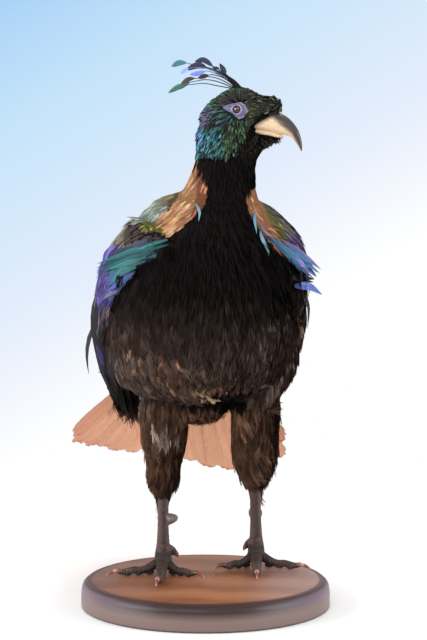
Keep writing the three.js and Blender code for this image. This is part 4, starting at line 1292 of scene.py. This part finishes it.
def make_bill():
    """Both halves of the bill with the two nostrils."""
    bm = bmesh.new()
    limb(bm, [(0, -a, h, w, d) for a, h, w, d in UPPER_BILL], 28, 44, front=UP)
    limb(bm, [(0, -a, h, w, d) for a, h, w, d in LOWER_BILL], 24, 28, front=UP)

    def paint(co, normal):
        spot = HEAD_BACK @ co
        ahead, high = -spot.y, spot.z
        cover = clamp((high - straight(PALE_TO, ahead) + 2.6) / 5) ** 0.6 * 0.97
        pale = blend(BILL_SIDE, BILL_TIP, clamp((ahead - 60) / 10) * 0.6)
        return (*blend(pale, BILL_RIDGE, cover), 0)

    nostril = bmesh.ops.create_icosphere(bm, subdivisions=3, radius=1)["verts"]
    place = Matrix.Translation((7.2, -36, -2.6)) @ Matrix.Rotation(0.35, 4, "X")
    bmesh.ops.transform(bm, matrix=place @ Matrix.Diagonal((1.6, 5.2, 2.0, 1)), verts=nostril)
    copy = bmesh.ops.duplicate(bm, geom=nostril + faces_of(nostril))
    moved = [g for g in copy["geom"] if isinstance(g, bmesh.types.BMVert)]
    bmesh.ops.transform(bm, matrix=Matrix.Scale(-1, 4, (1, 0, 0)), verts=moved)
    bmesh.ops.reverse_faces(bm, faces=faces_of(moved))
    piece("horn_bill", bm, HEAD, bill_horn, "horn", ("upper_bill", "lower_bill"), paint)


make_bill()


def skull_side(y, z):
    """How far out the side of the skull stands, in the head's own frame."""
    ahead = [(-row[1], row) for row in SKULL]
    middle, half, tall = (straight([(a, row[i]) for a, row in ahead], -y) for i in (2, 3, 4))
    return half * math.sqrt(max(0.05, 1 - ((z - middle) / tall) ** 2)) - 1.5


def kite_reach(angle):
    """How far the edge of the bare patch is from the eye, at an angle."""
    aim = (math.cos(angle), math.sin(angle))
    for (a, b), (c, d) in zip(KITE, KITE[1:] + KITE[:1]):
        cross = aim[0] * (d - b) - aim[1] * (c - a)
        if abs(cross) > 1e-9:
            reach = (a * (d - b) - b * (c - a)) / cross
            along = (a * aim[1] - b * aim[0]) / cross
            if reach > 0 and -1e-6 <= along <= 1 + 1e-6:
                return reach
    return 10


EYE_SUNK, LID, PUPIL_TO, IRIS_TO = 2.4, 4.4, 2.1, 3.9
PUPIL, IRIS, EYE_RIM = hues((8, 6, 6), (72, 32, 30), (24, 12, 12))
LID_PALE, PATCH_LOW, PATCH_HIGH = hues((188, 184, 206), (78, 72, 108), (144, 140, 178))


def from_eye(spot):
    """How far a place in the head's frame is from the eye, and at what angle."""
    ahead, high = -spot.y - EYE_AHEAD, spot.z - EYE_UP
    return math.hypot(ahead, high), math.atan2(high, ahead)


def make_eye(side):
    """A glass eye with its iris, and the bare wrinkled skin with its lids round it."""
    turn = TURNS[side]
    bm = bmesh.new()
    bmesh.ops.create_uvsphere(bm, u_segments=32, v_segments=20, radius=6.2)
    look = Matrix.Rotation(turn * math.pi / 2, 4, "Y")
    bm.transform(Matrix.Translation((turn * (EYE_OUT - EYE_SUNK), -EYE_AHEAD, EYE_UP)) @ look)

    def paint(co, normal):
        off, _ = from_eye(HEAD_BACK @ co)
        return (*(PUPIL if off < PUPIL_TO else IRIS if off < IRIS_TO else EYE_RIM), 0)

    piece(f"{side}_eye", bm, HEAD, eye_glass, "eye_glass", (f"{side}_glass_eye",), paint)

    bm = bmesh.new()
    ring = bmesh.ops.create_circle(bm, radius=1, segments=56)["verts"]
    edges = list({e for v in ring for e in v.link_edges})
    # From the rim of the patch inwards: share of the way out from the lids, and how far it stands out.
    shells = [(1.06, -3), (1.0, 0.8), (0.9, 1.8), (0.8, 1.3), (0.7, 2.0), (0.6, 1.6), (0.5, 2.4), (0.4, 2.0)]
    shells += [(0.3, 2.8), (0.2, 2.5), (0.12, 3.3), (0.05, 3.6), (0.0, 2.8), (-0.02, 0.6)]
    for number, (share, out) in enumerate(shells):
        if number:
            ring, edges = extruded(bm, edges)
        for vert in ring:
            angle = from_eye(vert.co)[1] if number else math.atan2(vert.co.y, vert.co.x)
            goal = LID + (kite_reach(angle) - LID) * share
            crease = 0.6 * noise.noise(Vector((math.cos(angle) * 3, math.sin(angle) * 3, share * 5)))
            y, z = -EYE_AHEAD - math.cos(angle) * goal, EYE_UP + math.sin(angle) * goal
            vert.co = (turn * (skull_side(y, z) + out + crease * (0 < number < 11)), y, z)
    bmesh.ops.contextual_create(bm, geom=edges)
    bmesh.ops.contextual_create(bm, geom=[e for e in bm.edges if e.is_boundary])
    bmesh.ops.recalc_face_normals(bm, faces=bm.faces)

    def skin_paint(co, normal):
        spot = HEAD_BACK @ co
        off, angle = from_eye(spot)
        share = (off - LID) / (kite_reach(angle) - LID)
        if 0.02 < share < 0.16 or 0.74 < share < 0.86 and spot.y < -6:
            return (*LID_PALE, 0)
        patch = 0 if share > 0.9 else noise.noise(spot * 0.45) * 0.5 + 0.45
        return (*blend(PATCH_LOW, PATCH_HIGH, patch), 0)

    piece(f"{side}_bare_eye_skin", bm, HEAD, bare_skin, "bare_skin", (f"{side}_eye_skin",), skin_paint)


for side in TURNS:
    make_eye(side)


# ---------------------------------------------------------------- crest
# Each crest plume in the front elevation, root to tip.
# Then the share where its leaf starts, the depth of its tip, the leaf's width, and its colours.
CREST = [
    ([(35.8, 571.6), (24.8, 583.7), (7.2, 592), (-9.4, 595.2), (-18.2, 597.5), (-28.1, 598.5),
      (-36.9, 594.1)],
     0.7, 12, 8.4, hues((70, 124, 136), (56, 104, 118))),
    ([(35.8, 571.6), (22.6, 583.7), (9.4, 590.3), (1.7, 592.5), (-8.2, 595.8), (-21.5, 590.3)],
     0.6, 2, 9.6, hues((58, 48, 74), (50, 52, 86))),
    ([(34.7, 571.6), (20.4, 582.6), (7.2, 588.1), (0.6, 589.2), (-8.2, 587), (-17, 585.4)],
     0.62, -6, 7.4, hues((128, 150, 230), (96, 110, 200))),
    ([(33.6, 571.6), (18.2, 584.8), (-0.6, 592.5), (-14.9, 592.5), (-20.4, 591.4), (-26.9, 586.5)],
     0.74, -10, 6.6, hues((150, 172, 236))),
    ([(34.7, 572.7), (22.6, 584.8), (11.6, 592.5), (7.2, 595.2), (-1.7, 601.3), (-11.5, 599.6)],
     0.58, 9, 8, hues((54, 58, 84), (62, 130, 138))),
    ([(33.6, 571.6), (20.4, 581.5), (8.2, 585.4), (3.9, 584.8), (-1.7, 583.7), (-8.2, 581.5)],
     0.62, -8, 6.6, hues((64, 46, 52))),
    ([(33.6, 573.8), (25.9, 582.6), (18.2, 590.3), (16, 591.4), (12.7, 592.5), (7.2, 593.6)],
     0.66, 14, 4.6, hues((44, 44, 58))),
    ([(34.7, 572.7), (28.1, 580.4), (22.6, 585.9), (21.5, 587), (19.2, 591.4), (15.5, 597.5)],
     0.52, 5, 7.4, hues((38, 38, 54), (40, 54, 66))),
    ([(31.4, 571.6), (18.2, 579.3), (5, 583.1), (-8.2, 581.5), (-18.2, 580.4), (-27, 574.9)],
     0.66, -4, 6.6, hues((82, 72, 70))),
    ([(29.2, 570.5), (13.8, 573.2), (-1.7, 576), (-17.1, 574.4), (-28.1, 572.7), (-40.6, 565.6)],
     0.66, 4, 7.6, hues((72, 122, 104), (70, 130, 124))),
    ([(30.2, 571), (16, 577), (1, 580), (-12, 578), (-20, 576), (-30, 569)],
     0.72, 16, 6, hues((70, 110, 96))),
]


# The bare quills: place of the root, where the quill has got to higher up, and its thickness.
QUILLS = ((39, 569, 26, 2.4), (37, 569, 22, 1.8), (33, 568, 24, 1.6))


def plume_outline(leaf_from):
    """A bare stem up to a share of the length, and a leaf from there on."""

    def outline(v):
        share = (v - leaf_from) / (1 - leaf_from)
        return 0.1 + (max(0.0, math.sin(math.pi * min(1, share))) ** 0.75 if share > 0 else 0)

    return outline


def make_crest():
    """Each plume is a leaf on a stem, and their quills run down into the crown."""
    feathers = Plumage()
    root_depth = (HEAD @ Vector((0, -12, 21))).y / MM
    own = random.Random(5)
    for points, leaf_from, deep, width, colours in CREST:
        leaf = mesh_of(vane_grid(4, 20, plume_outline(leaf_from), 0, 0.1), "leaf")
        rows = [(a, b, root_depth + deep * i / (len(points) - 1)) for i, (a, b) in enumerate(points)]
        path = [at_depth(*row) for row in along_rows(rows, 20)]
        face = Vector((own.uniform(-0.3, 0.3), -1, own.uniform(-0.2, 0.35))).normalized()
        faces = [face] * len(path)
        feathers.plant(leaf, along_path(path, faces, width * 0.7, width), own.choice(colours), 0.35)
        behind = [p + Vector((0, 0.6 * MM, 0)) for p in path]
        stem = mesh_of(vane_grid(2, 20, lambda v: 1 - 0.6 * v, 0, 0.1), "stem")
        feathers.plant(stem, along_path(behind, faces, 1.3, 1), linear(58, 50, 54), 0.0)
    feathers.show("crest_plumes", gloss_feathers, "crown_feathers", ("crest",))
    bm = bmesh.new()
    for across, up, bend, wide in QUILLS:
        line = ((across, up, 1), (bend + 5, 578, 0.8), (bend - 4, 584.5, 0.4), (bend - 12, 588.5, 0.3 / wide))
        spots = [(at_depth(a, b, root_depth) / MM, wide * share) for a, b, share in line]
        limb(bm, [(*spot, w, w) for spot, w in spots], 8, 12)
    place, colour = Matrix.Scale(MM, 4), (*linear(50, 42, 46), 0)
    piece("crest_quills", bm, place, soft_feathers, "crown_feathers", ("crest",), lambda co, normal: colour)


make_crest()


# ---------------------------------------------------------------- tail
def by_tail(reach, across, above):
    return TAIL_ROOT + TAIL_AXIS * reach + TAIL_SIDE * across + TAIL_UP * above


def feather_line(share, reach):
    """Where a tail feather of unit length has got to, and which way it then runs."""
    pieces = 40
    back = across = angle = 0.0
    for i in range(pieces + 1):
        angle = math.radians(share * 45 * (1 + 0.36 * (0.5 - reach * i / pieces)) + 11.6)
        if i < pieces:
            back += math.cos(angle) * reach / pieces
            across += math.sin(angle) * reach / pieces
    return back, across, angle


def tail_finish():
    """Rufous vanes with fine slanting barbs, ragged where barbs have parted at the edges."""
    made = Finish("rufous_tail", roughness=0.7, specular_ior_level=0.25)
    across, along, side = made.vane()
    slant = along * 90 - side * 9 + made.tint(3) * 50
    barb = made.node("ShaderNodeCombineXYZ", {}, {0: slant, 1: side * 0.6})
    fine = made.noise(1.0, 3.0, barb)
    coarse = made.noise(0.23, 2.0, barb)
    edge = 1.05 - coarse.over(0.45, 0.75) * 0.3 - fine.over(0.5, 0.7) * 0.1
    alpha = (edge - side).over(0.0, 0.02)
    streak = made.node("ShaderNodeCombineXYZ", {}, {0: across * 16 + made.tint(3) * 70, 1: along * 1.6})
    stripes = made.noise(1.0, 3.0, streak).over(0.3, 0.7) * 0.75 + fine.over(0.3, 0.7) * 0.25
    shaft = 1 - side.over(0.015, 0.07)
    dusk = along.over(0.8, 1.0)
    colour = made.mix(stripes, linear(234, 172, 134), linear(252, 204, 168))
    colour = made.mix(coarse.over(0.35, 0.7) * 0.3, colour, linear(232, 168, 132))
    colour = made.mix(dusk * 0.35, colour, linear(206, 146, 126))
    colour = made.mix(shaft * 0.25, colour, linear(186, 124, 92))
    made.feed(
        Base_Color=made.mix(1.0, colour, made.tint(), "MULTIPLY"),
        Alpha=alpha,
        Normal=made.bump(fine * 0.4 + shaft * 0.6, 0.4, 0.0005),
    )
    return made.material


rufous_tail = tail_finish()


# How far each feather lies under the one above it, and how far from the root its vane starts.
TAIL_STEP, TAIL_BARE = 1.9, 9


def tail_feather(index):
    """A vane with its shaft. The two middle feathers are 8 and 9."""
    middle = index - (TAIL_COUNT - 1) / 2
    share = middle / ((TAIL_COUNT - 1) / 2)
    length = TAIL_LONG + (TAIL_SHORT - TAIL_LONG) * share * share + draw.uniform(-5, 3)
    layer = 0 if middle == -0.5 else abs(middle) + 0.5
    rows = 44
    bm = vane_sheet(8, rows)
    reaches = [(TAIL_BARE + (length - TAIL_BARE) * i / rows) / length for i in range(rows + 1)]
    lines = [feather_line(share, reach) for reach in reaches]
    for vert in bm.verts:
        v, u = vert.co.x + 0.5, vert.co.y + 0.5
        back, across, angle = lines[round(u * rows)]
        blunt = math.sqrt(max(0.03, 1 - ((u - 0.88) / 0.12) ** 2)) if u > 0.88 else 1
        aside = (0.5 - v) * (TAIL_WIDTH + 1.5) * min(1, 0.05 + 1.2 * u) * blunt
        out = across * length + aside * math.cos(angle)
        reach = back * length - aside * math.sin(angle)
        crown = 1.3 * (1 - (2 * v - 1) ** 2) + 0.35 * math.sin(u * 17 + index * 1.7) * (2 * v - 1)
        vert.co = by_tail(reach, out, crown - layer * TAIL_STEP - TAIL_ARCH * (out / 100) ** 2)
    bmesh.ops.solidify(bm, geom=bm.faces[:], thickness=0.3)
    shaft = []
    for i in range(0, rows + 1, 4):
        back, across, angle = lines[i]
        out, reach = across * length, back * length
        spot = by_tail(reach, out, 1.5 - layer * TAIL_STEP - TAIL_ARCH * (out / 100) ** 2)
        wide = 0.9 * (1 - 0.75 * i / rows)
        shaft.append((*spot, wide, wide))
    limb(bm, shaft, 8, rows, front=TAIL_UP)
    shade = draw.uniform(0.86, 1.06)
    number = index / TAIL_COUNT
    side_shade = 1 - 0.12 * abs(share)

    def paint(co, normal):
        return (shade, shade * side_shade, shade * side_shade, number)

    name = f"tail_feather_{index + 1:02d}"
    piece(f"rufous_{name}", bm, BIRD, rufous_tail, "tail_feathers", (name,), paint)


for index in range(TAIL_COUNT):
    tail_feather(index)


# ---------------------------------------------------------------- what stays from the CAD
def plain(name, colour, roughness, metallic=0.0):
    made = Finish(name, roughness=roughness, metallic=metallic)
    grain = made.noise(300, 3)
    made.feed(Base_Color=made.mix(grain, colour, tuple(c * 0.7 for c in colour)))
    return made.material


felt = plain("green_felt", linear(58, 74, 58), 0.95)
steel = plain("steel_wire", linear(170, 170, 172), 0.35, 1.0)
foam = plain("carved_foam", linear(214, 198, 160), 0.9)
KEPT = {"felt": felt, "wire": steel, "nut": steel, "washer": steel, "form": foam, "block": foam}
for node_name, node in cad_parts.items():
    for word, finish in KEPT.items():
        if word in node_name:
            for slot in node.material_slots:
                slot.material = finish


# ---------------------------------------------------------------- surroundings
def make_sky():
    """A backdrop from white to pale blue, which the camera sees, and plain soft light from all sides."""
    world = bpy.data.worlds.new("studio")
    bpy.context.scene.world = world
    world.use_nodes = True
    sky = Shading(world.node_tree)
    place = sky.node("ShaderNodeTexCoord")
    height = sky.axis(place, 0) * -2.4 + 0.438 + sky.axis(place, 2) * 4.36
    blues = hues((255, 255, 255), (229, 238, 252), (211, 232, 251), (196, 227, 250), (171, 211, 247))
    backdrop = sky.ramp(list(zip((0, 0.3, 0.55, 0.75, 1), blues)), height)
    white = (1, 1, 1, 1)
    soft = sky.node("ShaderNodeBackground", {}, {0: white, 1: 0.62})
    back = sky.node("ShaderNodeBackground", {}, {0: backdrop, 1: 1.0})
    direct, through = (
        sky.node("ShaderNodeLightPath", out=f"Is {ray} Ray") for ray in ("Camera", "Transmission")
    )
    seen = sky.node("ShaderNodeMath", {"operation": "ADD", "use_clamp": True}, {0: direct, 1: through})
    mix = sky.node("ShaderNodeMixShader", {}, {0: seen, 1: soft, 2: back})
    sky.tree.links.new(mix.socket, sky.tree.nodes["World Output"].inputs[0])


def make_floor():
    bm = bmesh.new()
    bmesh.ops.create_circle(bm, cap_ends=True, segments=96, radius=1.3)
    mesh = mesh_of(bm, "floor")
    made = Finish("pale_floor", roughness=0.9, specular_ior_level=0.0, base_color=(0.9, 0.9, 0.9, 1))
    reach = made.node("ShaderNodeVectorMath", {"operation": "LENGTH"}, {0: made.place()}, 1)
    made.feed(Alpha=1 - reach.over(0.22, 1.1))
    mesh.materials.append(made.material)
    placed("floor", mesh)


# Each lamp: its place and size in metres, and its power.
LAMPS = {
    "left_side": ((-2.1, -0.9, 0.9), 1.6, 46),
    "right_side": ((2.1, -0.8, 0.8), 1.6, 38),
    "front": ((-0.5, -2.6, 1.8), 1.4, 22),
    "crown": ((0.0, 0.6, 2.2), 1.4, 16),
}
LIT = Vector((0, 0, 0.33))


def make_lamps():
    for name, (spot, size, power) in LAMPS.items():
        lamp = bpy.data.lights.new(name, "AREA")
        lamp.size = size
        lamp.energy = power
        light = placed(name, lamp)
        light.location = spot
        light.rotation_euler = (LIT - Vector(spot)).to_track_quat("-Z", "Y").to_euler()


def make_camera():
    lens = bpy.data.cameras.new("camera")
    lens.lens = 112.95
    lens.sensor_width = 36
    camera = placed("camera", lens)
    camera.location = VIEW * MM
    camera.rotation_euler = (math.radians(90 - 4.874), 0, 0)
    bpy.context.scene.camera = camera


make_sky()
make_floor()
make_lamps()
make_camera()
bpy.context.scene.view_settings.view_transform = "Standard"
